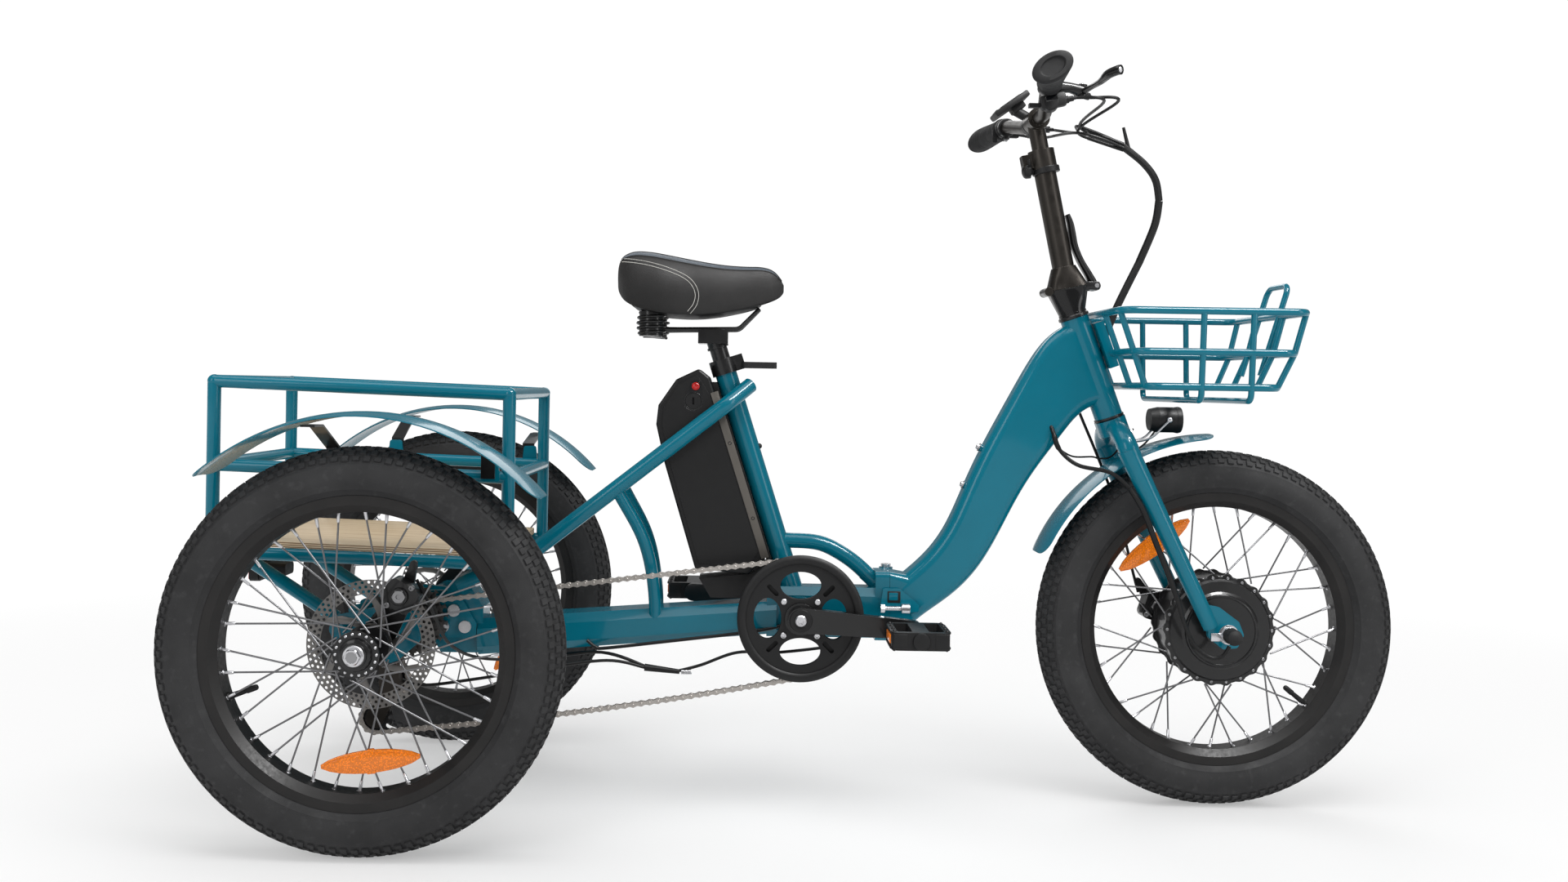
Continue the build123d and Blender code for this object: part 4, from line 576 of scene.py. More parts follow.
red_button = mottled("red_button", rgb(196, 22, 18), 0.3, coat=0.4).material
clear = clear_plastic().material
saddle_vinyl = vinyl("saddle_vinyl", rgb(37, 36, 36)).material
saddle_trim = vinyl("saddle_trim", rgb(62, 72, 82), 0.2).material
screen = mottled("screen", rgb(10, 12, 16), 0.12, coat=1.0, grain=0.0, edge=0.3, spread=0.05).material
thread = mottled("stitch_thread", rgb(214, 212, 206), 0.7, grain=0.1, grain_size=0.5).material

NODE_FINISH = {
    teal: ("rear_frame", "axle_carrier", "front_frame", "frame_latch", "cargo_rack", "front_basket",
           "rear_fenders", "front_fender"),
    black_paint: ("seat_collar", "fender_straps", "rear_calipers", "front_caliper", "right_hub",
                  "left_hub", "crankset", "seat_post", "saddle_mount",
                  "rear_brake_arms", "front_brake_arm", "stem_lever", "front_hub_motor",
                  "right_brake_lever", "left_brake_lever"),
    moulded: ("battery_rail", "chainring", "right_pedal", "left_pedal", "guide_pulley",
              "tension_pulley", "seat_lever", "battery_key", "headlight", "bar_controls",
              "throttle_lever", "shifter_lever", "tail_light"),
    dark_alloy: ("handlepost", "handlebar", "derailleur"),
    grip_rubber: ("grips",),
    bright_steel: ("bolts",),
    plain_steel: ("bearings", "rear_axle", "front_axle"),
    cog_steel: ("cassette",),
    rear_disc: ("right_rotor", "left_rotor"),
    front_disc: ("front_rotor",),
    battery_shell: ("battery_pack",),
    red_button: ("battery_button",),
    saddle_vinyl: ("saddle",),
    chain_steel: ("chain",),
    rubber: ("right_tyre", "left_tyre", "front_tyre"),
    fork_paint().material: ("fork",),
    laced_rim_finish("front_rim", FRONT_AXLE).material: ("front_laced_rim",),
    laced_rim_finish("rear_rim", REAR_AXLE).material: ("right_laced_rim", "left_laced_rim"),
    plywood().material: ("cargo_deck",),
}


def dress_cad_nodes():
    for material, names in NODE_FINISH.items():
        for name in names:
            mesh = NODES[name].data
            mesh.materials.clear()
            mesh.materials.append(material)
            mesh.shade_smooth()
            mesh.set_sharp_from_angle(angle=math.radians(32))


# ---- wheels -------------------------------------------------------------------------

CASING_RADIUS = 36.0
KNOB_RADIUS = 38.6
KNOBS_AROUND = 112


def tyre_solid(centre_radius):
    """Casing with bead, rim guard rib and shoulder line, as a closed ring."""
    bead = 24.0
    profile = [(-bead + 4, centre_radius - 25.5), (-bead, centre_radius - 27.5)]
    steps = 46
    limit = 137.0
    for i in range(steps + 1):
        phi = -limit + 2 * limit * i / steps
        rib = 0.9 if abs(abs(phi) - 118) < 3.5 or abs(abs(phi) - 66) < 3.2 else 0.0
        across, up = polar(CASING_RADIUS + rib, 90 - phi)
        profile.append((across, centre_radius + up))
    profile += [(bead, centre_radius - 27.5), (bead - 4, centre_radius - 25.5)]
    for phi in (110, 70, 30, 0, -30, -70, -110):
        across, up = polar(CASING_RADIUS - 5, 90 - phi)
        profile.append((across, centre_radius + up))
    return lathe(profile, 144, closed=True)


def knob(centre_radius, turn, lean, half_turn, half_lean):
    """One tread block on the casing, at this turn round the wheel and lean off the crown."""
    points = []
    for radius, share in ((CASING_RADIUS - 1.0, 1.0), (KNOB_RADIUS, 0.78)):
        for dt, dl in ((-1, -1), (1, -1), (1, 1), (-1, 1)):
            across, up = polar(radius, 90 - lean - dl * half_lean * share)
            x, y = polar(centre_radius + up, turn + dt * half_turn * share)
            points.append((x, y, across))
    faces = [(4, 5, 6, 7), (0, 1, 5, 4), (1, 2, 6, 5), (2, 3, 7, 6), (3, 0, 4, 7), (3, 2, 1, 0)]
    return points, faces


def make_tyre(side, body, offset=0.0):
    node = side + "_tyre"
    place = wheel_place(middle(node))
    centre_radius = WHEEL_RADIUS - 38.0
    shape = Shape().add(tyre_solid(centre_radius), place)
    pitch = 360 / KNOBS_AROUND
    rows = ((52, 0.36, 6.0, 0.0), (35, 0.33, 7.0, 0.5), (17, 0.36, 6.5, 0.0), (0, 0.30, 6.0, 0.5))
    for index in range(KNOBS_AROUND):
        for lean, length, width, shift in rows:
            long_knob = 1.25 if (index + int(lean)) % 2 else 0.9
            for way in ((1, -1) if lean else (1,)):
                turn = offset + pitch * (index + shift)
                shape.add(knob(centre_radius, turn, way * lean, pitch * length,
                               width * long_knob), place)
    shape.build(side + "_tyre_tread", body, rubber, sharp=30, stands_for=(node,))


def lens_outline(length, width, steps=12):
    """Pointed oval between two shallow arcs, with blunt ends."""
    upper = [(-length / 2 + length * i / steps,
              width / 2 * (1 - (2 * i / steps - 1) ** 2) ** 0.75 + 2.5) for i in range(steps + 1)]
    return upper + [(x, -y) for x, y in reversed(upper)]


SPOKES = 36
RIM_INNER = 189.0


def make_wheel_details(side, body, flange_radius, flange_y, sweep, reflector, valve):
    """Spoke nipples, valve stem and clip-on reflector of one wheel."""
    centre = middle(side + "_tyre")
    place = wheel_place(centre)
    nipples = Shape()
    for index in range(SPOKES):
        way = 1 if index % 2 == 0 else -1
        twist = 1 if index % 4 < 2 else -1
        angle = 360 * index / SPOKES
        rim = Vector((*polar(RIM_INNER + 1, angle), way * (4 + 1.6 * twist)))
        hub = Vector((*polar(flange_radius + 3, angle - twist * sweep),
                      way * (flange_y + 1.6 * twist)))
        lean = (hub - rim).normalized()
        spot = place @ facing(rim, lean)
        nipples.add(lathe([(-1, 3.6), (1.2, 3.4), (1.6, 2.4), (13, 2.1), (14, 1.4)], 10), spot)
        nipples.add(lathe([(-0.5, 4.6), (0.4, 4.4), (0.6, 3.0)], 12), spot)
    nipples.build(side + "_nipples", body, bright_steel)
    stem = Shape()
    foot = place @ Matrix.Rotation(math.radians(valve), 4, "Z") @ facing((RIM_INNER + 1, 0, 0),
                                                                       (-1, 0, 0))
    stem.add(lathe([(-2, 7), (2, 6.6), (4, 4.2), (26, 3.6), (27, 4.4), (40, 4.1), (42, 3)], 20),
             foot)
    stem.build(side + "_valve", body, cable_cover)
    radius, angle, out = reflector
    spot = place @ Matrix.Rotation(math.radians(angle), 4, "Z") @ Matrix.Translation(
        (radius, 0, out)) @ Matrix.Rotation(math.radians(90), 4, "Z")
    clip = Shape()
    clip.add(plate(lens_outline(134, 26), 6, 1.6), spot)
    clip.add(plate(lens_outline(122, 17), 2.4, 1.0), spot @ Matrix.Translation((0, 0, 5.4)))
    clip.add(block(12, 33, 9, 1.5), spot @ Matrix.Translation((0, 0, 2.5)))
    clip.build(side + "_reflector", body, amber)


# ---- chain --------------------------------------------------------------------------

CHAIN_PITCH = 12.7
CHAIN_WHEELS = ((BRACKET, 44, 1), (REAR_AXLE, 13, 1), (GUIDE, 11, -1), (TENSION, 11, 1))
CHAIN_Y = middle("chain").y - 0.1
CHAIN_SAG = 9.0


def chain_path():
    """Closely spaced points of the pitch line, as (X, Z) pairs in running order."""
    wheels = [((c.x, c.z), CHAIN_PITCH / (2 * math.sin(math.pi / teeth)), turn)
              for c, teeth, turn in CHAIN_WHEELS]
    runs = []
    for i, (centre, radius, turn) in enumerate(wheels):
        other, other_radius, other_turn = wheels[(i + 1) % len(wheels)]
        dx, dz = other[0] - centre[0], other[1] - centre[1]
        offset = radius * turn - other_radius * other_turn
        angle = math.atan2(dz, dx) + math.asin(offset / math.hypot(dx, dz))
        side = Vector((math.sin(angle), -math.cos(angle)))
        runs.append((Vector(centre) + side * radius * turn,
                     Vector(other) + side * other_radius * other_turn))
    path = []
    for i, (start, end) in enumerate(runs):
        sag = CHAIN_SAG if i == len(runs) - 1 else 0.0
        for step in range(60):
            t = step / 60
            path.append(start.lerp(end, t) - Vector((0, sag * 4 * t * (1 - t))))
        centre, radius, turn = wheels[(i + 1) % len(wheels)]
        after = runs[(i + 1) % len(runs)][0]
        first = math.atan2(end[1] - centre[1], end[0] - centre[0])
        last = math.atan2(after[1] - centre[1], after[0] - centre[0])
        span = (last - first) * turn % (2 * math.pi)
        for step in range(90):
            angle = first + turn * span * step / 90
            path.append(Vector(centre) + radius * Vector((math.cos(angle), math.sin(angle))))
    return path


def pins_along(path):
    """Pin places one pitch apart, an even number of them round the closed path."""
    lengths = [0.0]
    for i, point in enumerate(path):
        lengths.append(lengths[-1] + (path[(i + 1) % len(path)] - point).length)
    count = 2 * round(lengths[-1] / CHAIN_PITCH / 2)
    pins = []
    index = 0
    for k in range(count):
        reach = lengths[-1] * k / count
        while lengths[index + 1] < reach:
            index += 1
        t = (reach - lengths[index]) / (lengths[index + 1] - lengths[index])
        pins.append(path[index].lerp(path[(index + 1) % len(path)], t))
    return pins


def link_outline(pitch, radius, waist):
    """Figure-of-eight side plate from pin to pin along local X."""
    outline = []
    for centre, start in ((pitch, -120), (0.0, 60)):
        outline += [(centre + x, y) for x, y in
                    (polar(radius, start + 240 * k / 8) for k in range(9))]
        outline.append((pitch / 2, waist if centre else -waist))
    return outline


def make_chain():
    links = Shape()
    pins = pins_along(chain_path())
    for i, start in enumerate(pins):
        run = pins[(i + 1) % len(pins)] - start
        angle = Matrix.Rotation(math.atan2(run.y, run.x), 4, "Z")
        place = side_view(start.x, start.y, CHAIN_Y) @ angle
        gap, radius = (3.3, 4.2) if i % 2 else (2.2, 4.0)
        for z in (gap, -gap - 0.9):
            links.add(plate(link_outline(run.length, radius, 2.4), 0.9, 0),
                      place @ Matrix.Translation((0, 0, z)))
        links.add(lathe([(-2.1, 3.9), (2.1, 3.9)], 12), place)
        links.add(lathe([(-4.9, 1.5), (-4.6, 1.8), (4.6, 1.8), (4.9, 1.5)], 8), place)
    links.build("chain_links", "frame", chain_steel, stands_for=("chain",))


# ---- saddle -------------------------------------------------------------------------

# Each station along the saddle: X, half width, top, lower edge, depth of the middle channel.
SADDLE_STATIONS = (
    (-313, 44, 824, 792, 0), (-309, 68, 833, 782, 0), (-300, 86, 841, 770, 1),
    (-284, 97, 846, 761, 3), (-260, 103, 845, 755, 5), (-235, 103, 841, 751, 6),
    (-205, 91, 836, 750, 6), (-176, 70, 832, 752, 6), (-146, 51, 829, 757, 5),
    (-116, 39, 828, 764, 4), (-92, 31, 828, 771, 2), (-74, 24, 823, 777, 0),
    (-62, 15, 811, 783, 0), (-56, 7, 801, 790, 0),
)
TOP_SEAM, TRIM_SEAM, EDGE_SEAM = 12, 16, 34
SECTION_POINTS = 48


def saddle_section(station):
    """Right half-section from the crown down to the lower edge and in under the pad."""
    x, half, top, edge, channel = station
    tall = top - edge
    shape = [(0, top - channel), (0.18, top - channel * 0.75), (0.42, top),
             (0.66, top - tall * 0.03), (0.86, top - tall * 0.14), (0.98, top - tall * 0.36),
             (1.0, top - tall * 0.6), (0.93, top - tall * 0.86), (0.86, edge),
             (0.8, edge + 1.5), (0.45, edge + 7), (0, edge + 9)]
    path = smooth_path([(x, -share * half, z) for share, z in shape], 4)
    return [path[round(i * (len(path) - 1) / SECTION_POINTS)] for i in range(SECTION_POINTS + 1)]


def saddle_rings():
    stations = smooth_path([Vector((s[0], s[1], s[2])) for s in SADDLE_STATIONS], 4)
    others = smooth_path([Vector((s[0], s[3], s[4])) for s in SADDLE_STATIONS], 4)
    rings = []
    for a, b in zip(stations, others):
        half = saddle_section((a.x, a.y, a.z, b.y, b.z))
        mirror = [Vector((p.x, -p.y, p.z)) for p in half[1:-1]]
        rings.append(half + mirror[::-1])
    return rings


def seam_curve():
    """The sewn seam on each flank, from the rear top round to the lower edge, as (X, Z)."""
    return smooth_path([Vector((-306, 831, 0)), Vector((-262, 824, 0)), Vector((-222, 812, 0)),
                        Vector((-200, 800, 0)), Vector((-190, 783, 0)), Vector((-192, 766, 0)),
                        Vector((-201, 753, 0))], 10)


PUFF_CAP = 3.5


def inflate(piece, pinned):
    """Cloth pressure puffs the cover between its pinned seams, by at most PUFF_CAP."""
    group = piece.vertex_groups.new(name="seams")
    group.add(pinned, 1.0, "REPLACE")
    before = [v.co.copy() for v in piece.data.vertices]
    cloth = piece.modifiers.new("puff", "CLOTH")
    cloth.settings.vertex_group_mass = "seams"
    cloth.settings.use_pressure = True
    cloth.settings.uniform_pressure_force = 4.0
    cloth.settings.tension_stiffness = 20
    cloth.settings.bending_stiffness = 2.0
    cloth.settings.effector_weights.gravity = 0.0
    cloth.point_cache.frame_end = 20
    scene = bpy.context.scene
    for number in range(1, 21):
        scene.frame_set(number)
    puffed = piece.evaluated_get(bpy.context.evaluated_depsgraph_get()).to_mesh()
    after = [v.co.copy() for v in puffed.vertices]
    piece.modifiers.remove(cloth)
    scene.frame_set(1)
    for vertex, old, new in zip(piece.data.vertices, before, after):
        step = new - old
        if step.length > PUFF_CAP / MM:
            step *= PUFF_CAP / MM / step.length
        vertex.co = old + step


def make_saddle():
    rings = saddle_rings()
    sides = len(rings[0])
    points, faces = skin(rings)
    shape = Shape().add((points, faces))
    for index, face in enumerate(shape.faces):
        column = min(face) % sides
        column = min(column, sides - 1 - column)
        on_body = 4 < index // sides < len(rings) - 3
        shape.tints[index] = 1 if TOP_SEAM <= column < TRIM_SEAM and on_body else 0
    cover = shape.build("saddle_cover", None, saddle_vinyl, saddle_trim, sharp=180)
    curve = seam_curve()
    pinned = []
    for index, point in enumerate(points):
        column = min(index % sides, (sides - index % sides) % sides)
        on_curve = any(math.hypot(point[0] - c.x, point[2] - c.y) < 3.0 for c in curve)
        if column in (TOP_SEAM, TRIM_SEAM) or column >= EDGE_SEAM or (on_curve and column > 8):
            pinned.append(index)
    inflate(cover, pinned)
    smooth = cover.modifiers.new("smooth", "SUBSURF")
    smooth.levels = smooth.render_levels = 1
    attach(cover, "seat")
    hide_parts("saddle")
    make_saddle_seams(cover, rings)
    make_saddle_shell()
    make_saddle_springs()


def surface_point(tree, x, z, side, off=0.0):
    """Point on the saddle's flank at this X and Z, and its outward normal, in metres."""
    origin = Vector((x, side * 300, z)) / MM
    spot, normal, _, _ = tree.ray_cast(origin, Vector((0, -side, 0)))
    if spot is None:
        return None, None
    return spot + normal * off / MM, normal


def make_saddle_seams(cover, rings):
    """Piping along the trim and two rows of stitches beside the flank seam."""
    bpy.context.view_layer.update()
    tree = BVHTree.FromObject(cover, bpy.context.evaluated_depsgraph_get())
    piping = Shape()
    for side in (1, -1):
        for column in (TOP_SEAM, TRIM_SEAM):
            line = []
            for ring in rings[5:-3]:
                point = ring[column].copy()
                point.y *= side
                spot, normal, _, _ = tree.find_nearest(point / MM)
                line.append((spot + normal * 0.0002) * MM)
            piping.add(tube(smooth_path(line[::2], 3), 0.9, 8))
    piping.build("saddle_piping", "seat", saddle_vinyl)
    stitches = Shape()
    curve = seam_curve()
    for side in (1, -1):
        for shift in (-2.6, 2.6):
            for i in range(1, len(curve) - 1):
                along = (curve[i + 1] - curve[i - 1]).normalized()
                for half in (0.0, 0.5):
                    spot = curve[i].lerp(curve[i + 1], half)
                    spot = spot + Vector((-along.y, along.x, 0)) * shift
                    ends = [surface_point(tree, spot.x + along.x * k, spot.y + along.y * k,
                                          side, 0.25)[0] for k in (-1.1, 1.1)]
                    if None not in ends:
                        stitches.add(tube([e * MM for e in ends], 0.45, 6))
    stitches.build("saddle_stitches", "seat", thread)


def make_saddle_shell():
    """Moulded shell under the pad, with a raised rim at the rear."""
    rings = []
    for x, half, z in ((-292, 62, 766), (-270, 82, 757), (-235, 86, 752), (-200, 74, 750),
                       (-165, 52, 752), (-125, 34, 760), (-88, 22, 770)):
        path = [(x, -half, z + 2), (x, -half * 0.8, z - 3), (x, 0, z - 6), (x, half * 0.8, z - 3),
                (x, half, z + 2), (x, half * 0.8, z + 5), (x, 0, z + 5), (x, -half * 0.8, z + 5)]
        rings.append([Vector(p) for p in path])
    shell = Shape().add(skin(rings)).build("saddle_shell", "seat", moulded, sharp=60)
    smooth = shell.modifiers.new("smooth", "SUBSURF")
    smooth.levels = smooth.render_levels = 2


def make_saddle_springs():
    """Two coil springs under the rear of the saddle."""
    springs = Shape()
    for y in (40, -40):
        turns, steps, bottom, top = 4.5, 24, 717.0, 753.0
        path = []
        for i in range(int(turns * steps) + 1):
            share = i / (turns * steps)
            radius = 21.5 - 3.5 * abs(2 * share - 1) ** 2
            x, offset = polar(radius, 360 * i / steps)
            path.append(Vector((-260 + x, y + offset, bottom + (top - bottom) * share)))
        springs.add(tube(path, 2.4, 8))
    springs.build("saddle_springs", "seat", black_paint, sharp=60)


# ---- cockpit ------------------------------------------------------------------------

BAR_MARK = pivot("throttle_push")
BAR_OUT = Vector(JOINTS["throttle_push"]["axis"])
BAR_OUT *= math.copysign(1, BAR_OUT.y)
BAR_RADIUS = 11.0
BAR_CENTRE = Vector((336.5, 0, 1067))
SIDES = {"right": -1, "left": 1}


def bar_place(side, out):
    """Place on the bar this far outside the throttle: Z outward, X ahead, Y up."""
    sign = SIDES[side]
    spot = BAR_MARK + BAR_OUT * out
    along = BAR_OUT.copy()
    ahead = Vector((1, 0, 0))
    ahead = (ahead - along * ahead.dot(along)).normalized()
    up = along.cross(ahead)
    up *= math.copysign(1, up.z)
    rows = []
    for i in range(3):
        flip = sign if i == 1 else 1
        rows.append([ahead[i] * flip, up[i] * flip, along[i] * flip, spot[i] * flip])
    rows.append([0, 0, 0, 1])
    return Matrix(rows)


GRIP_STATIONS = (                            # out, half height, half width, palm side shift
    (3, 16.5, 16.5, 0), (7, 18.5, 18.5, 0), (16, 17, 17.5, 0), (45, 17.5, 19, 1),
    (72, 18.5, 23, 3), (92, 19.5, 28, 6), (103, 20, 30.5, 7), (107.5, 18.5, 29, 7))
GRIP_TILT = 32.0


def grip_ring(out, high_half, wide_half, shift, grow=1.0):
    """Oval section whose wide half points back and down, with fine ribs underneath."""
    ahead, up = polar(1, GRIP_TILT)
    ring = []
    for k in range(48):
        wide, tall = polar(1, 360 * k / 48)
        rib = 0.45 * max(0.0, math.sin(out * 1.1)) * (abs(tall) > 0.35) * (12 < out < 88)
        a = wide * (wide_half + rib) * grow - shift
        b = tall * (high_half + rib) * grow
        ring.append((a * ahead - b * up, a * up + b * ahead, out))
    return ring


def make_grip(side):
    rings = []
    for (out, *first), (end, *last) in zip(GRIP_STATIONS, GRIP_STATIONS[1:]):
        steps = max(1, round((end - out) / 1.4))
        for step in range(steps):
            share = step / steps
            sizes = [a + (b - a) * share for a, b in zip(first, last)]
            rings.append(grip_ring(out + (end - out) * share, *sizes))
    end, *sizes = GRIP_STATIONS[-1]
    for out, grow in ((end, 1), (end + 1.2, 0.92), (end + 1.2, 0.66), (end - 1.5, 0.58),
                      (end - 2, 0.3)):
        rings.append(grip_ring(out, *sizes, grow))
    grip = Shape()
    grip.add(skin(rings), bar_place(side, 0))
    stands_for = ("grips",) if side == "right" else ()
    grip.build(side + "_grip", "bars", grip_rubber, stands_for=stands_for)


def make_brake_lever(side):
    """Curved blade with a bright tip on its pivot screw."""
    sign = SIDES[side]
    hinge = pivot(side + "_brake_squeeze")
    path = smooth_path([hinge + Vector((x, sign * y, z)) for x, y, z in (
        (-2, -9, -2), (3, 8, -1), (9, 32, 1), (12, 64, 1), (15, 92, 4), (23, 108, 6),
        (27, 113, 6))])
    lever = Shape()
    lever.add(tube(path, lambda t: 6.2 - 2.2 * math.sin(math.pi * min(1, t * 1.6)) + 0.8 * t, 16))
    lever.add(dome(5.2, 5.5), facing(path[-1] - Vector((3, sign * 2, 0)), (1, sign, 0)), 1)
    lever.add(lathe([(-9, 4), (-8, 5.2), (8, 5.2), (9, 4)], 24), facing(hinge, (0, 0, 1)))
    lever.add(socket_screw(3.6, 2.4), facing(hinge + Vector((0, 0, 9)), (0, 0, 1)), 1)
    name = side + "_brake_lever"
    lever.build(side + "_brake_blade", name, black_paint, bright_steel, stands_for=(name,))


def add_clamp(shape, place, outer, width):
    """Split bar clamp with a rounded outside and its pinch block."""
    shape.add(lathe([(0, BAR_RADIUS), (0, outer - 1), (1, outer), (width - 1, outer),
                     (width, outer - 1), (width, BAR_RADIUS)], 48, closed=True), place)
    shape.add(block(9, 7, width, 1), place @ Matrix.Translation((0, -outer - 1, width / 2)))


def make_perch(side):
    """Brake lever bracket, its clamp and the cable's barrel adjuster."""
    sign = SIDES[side]
    hinge = pivot(side + "_brake_squeeze")
    place = bar_place(side, -19)
    perch = Shape()
    add_clamp(perch, place, 15.5, 11)
    clamp = place @ Vector((14, -1, 5))
    perch.add(tube([clamp, clamp.lerp(hinge, 0.5) + Vector((0, 0, 2)), hinge],
                   lambda t: 9.0 - 1.5 * math.sin(math.pi * t), 20))
    for rise in (-7.4, 7.4):
        perch.add(lathe([(-2, 7), (-1.4, 8.6), (1.4, 8.6), (2, 7)], 32),
                  facing(hinge + Vector((0, 0, rise)), (0, 0, 1)))
    barrel = hinge + Vector((6, -sign * 16, -2))
    perch.add(lathe([(-14, 5), (0, 5), (1, 4.4), (2, 5.6), (11, 5.6), (12, 3.2), (17, 3)], 24),
              facing(barrel, (0.9, -sign * 0.5, -0.1)))
    perch.add(socket_screw(3, 2), place @ Matrix.Translation((0, -20, 5.5)), 1)
    perch.build(side + "_perch", "bars", black_paint, bright_steel)
    return barrel + Vector((15, -sign * 8, -2))


def make_display():
    """Tilted screen left of the stem on its own bar clamp."""
    spot = BAR_CENTRE + Vector((-34, 42, 31))
    lean = Matrix.Translation(spot) @ Matrix.Rotation(math.radians(-36), 4, "Y")
    clamp = BAR_CENTRE + Vector((0, 30, 0))
    display = Shape()
    display.add(block(64, 48, 10, 2.6), lean)
    display.add(block(44, 36, 2, 0.6), lean @ Matrix.Translation((4, 0, 5)), 1)
    for step in (-1, 0, 1):
        display.add(dome(3.4, 1.4), lean @ Matrix.Translation((-25, 12 * step, 5)), 2)
    display.add(block(24, 22, 12, 2), lean @ Matrix.Translation((8, 0, -9)))
    add_clamp(display, facing(clamp, (0, 1, 0)), 15.5, 16)
    display.add(tube([clamp + Vector((-6, 8, 12)), spot + Vector((6, 0, -6))], 8, 16))
    display.build("display", "bars", moulded, screen, battery_shell, stands_for=("bar_controls",))


def make_shifter():
    """Gear pod under the right end of the bar, with its gear window and cable nose."""
    place = bar_place("right", -10)
    pod = Shape()
    add_clamp(pod, place, 15.8, 10)
    lean = place @ Matrix.Translation((6, -24, 4)) @ Matrix.Rotation(math.radians(12), 4, "Z")
    pod.add(block(38, 20, 17, 4), lean)
    pod.add(lathe([(-11, 9), (-10, 12), (7, 12), (9, 10), (9.5, 4)], 36),
            lean @ Matrix.Translation((-4, -2, 0)))
    pod.add(block(17, 8, 1.6, 0.6), lean @ Matrix.Translation((-2, 3, 9)), 1)
    nose = lean @ Matrix.Translation((18, -2, 0)) @ Matrix.Rotation(math.radians(90), 4, "Y")
    pod.add(lathe([(0, 5.4), (4, 5.4), (5, 4), (11, 4), (12, 2.6), (17, 2.4)], 24), nose)
    pod.build("shifter_pod", "bars", moulded, screen)
    return nose @ Vector((0, 0, 16))


def make_throttle():
    """Throttle housing on the left with its cable nose."""
    place = bar_place("left", -11)
    housing = Shape()
    add_clamp(housing, place, 16.5, 10)
    housing.add(block(20, 15, 11, 2.5), place @ Matrix.Translation((14, -8, 5)))
    housing.build("throttle_housing", "bars", moulded)
    return place @ Vector((24, -10, 5))


def make_bell():
    """Small bell on a strap round the post, facing the rider."""
    post = BAR_CENTRE - STEM_AXIS * 80
    bell = Shape()
    bell.add(lathe([(-5, 20.8), (-4, 21.6), (4, 21.6), (5, 20.8)], 48), facing(post, STEM_AXIS))
    base = post + Vector((-22, 0, 0))
    bell.add(lathe([(-6, 6), (2, 8), (3, 12.5), (9, 12.5)], 36), facing(base, (-1, 0, -0.1)))
    bell.add(dome(12.5, 7, 36), facing(base + Vector((-9, 0, -1)), (-1, 0, -0.1)))
    bell.add(tube(smooth_path([base + Vector(p) for p in ((-4, -9, 3), (-7, -15, 8),
                                                          (-9, -17, 14))]), 2.2), None)
    bell.build("bell", "stem", battery_shell)


# ---- cables -------------------------------------------------------------------------

CABLE = 2.4                                  # radius of a brake or gear cable's cover

def hose(name, points, radius, body, material=None, blend=None):
    """Cable along a smooth path on the body. Given blend, the cable is left on no body with its
    transform baked in;
    the second body and the points that blend names are not read."""
    cable = Shape()
    path = smooth_path(points, 10)
    cable.add(tube(path, radius, 10))
    piece = cable.build(name, None if blend else body, material or cable_cover)
    if blend:
        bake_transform(piece)


BUNDLE = [Vector(p) for p in (               # where the hoses meet, and their bow to the frame
    (404, 0, 1052), (474, 0, 1028), (506, 0, 1003), (526, 2, 977), (534, 8, 945),
    (530, 16, 907), (509, 25, 849), (478, 26, 784), (460, 26, 740), (444, 27, 704),
    (424, 20, 680))]


STEM_LEVER = (                               # ahead of the pin, above it, half thickness, half width
    (-44.5, 112, 3.2, 9), (-39.5, 98, 4.4, 10.5), (-36, 80, 5, 11), (-32, 61, 5, 11),
    (-23, 40, 5, 11), (-11, 20, 5.4, 11.5), (-2, 4, 6, 12), (1, -5, 5, 11.5))


def make_stem_lever():
    """Curved latch handle lying against the front of the stem, and the lugs that carry it."""
    pin = pivot("stem_latch_open")
    path = smooth_path([pin + Vector((ahead, 0, up)) for ahead, up, _, _ in STEM_LEVER], 3)
    sizes = smooth_path([Vector((thick, wide, 0)) for _, _, thick, wide in STEM_LEVER], 3)
    rings = []
    for i, (spot, size) in enumerate(zip(path, sizes)):
        along = (path[min(i + 1, len(path) - 1)] - path[max(i - 1, 0)]).normalized()
        out = Vector((0, 1, 0)).cross(along)
        ring = []
        for turn in range(0, 360, 15):
            across, rise = polar(1, turn)
            flat = math.copysign(abs(across) ** 0.6, across)
            ring.append(spot + Vector((0, size.y * flat, 0))
                        + out * size.x * math.copysign(abs(rise) ** 0.8, rise))
        rings.append(ring)
    lever = Shape()
    lever.add(skin(rings))
    lever.add(lathe([(-12.6, 0), (-12.6, 6), (-11.6, 7.4), (11.6, 7.4), (12.6, 6), (12.6, 0)], 32),
              facing(pin, (0, 1, 0)))
    lever.build("stem_latch_handle", "stem_lever", black_paint, stands_for=("stem_lever",))
    lugs = Shape()
    for edge in (-1, 1):
        lugs.add(block(25, 3.6, 13, 1.4), Matrix.Translation(pin + Vector((-8, edge * 15, 0))))
    lugs.add(tube([pin + Vector((0, -18, 0)), pin + Vector((0, 18, 0))], 3.4, 20), None, 1)
    lugs.build("stem_latch_lugs", "stem", black_paint, plain_steel)


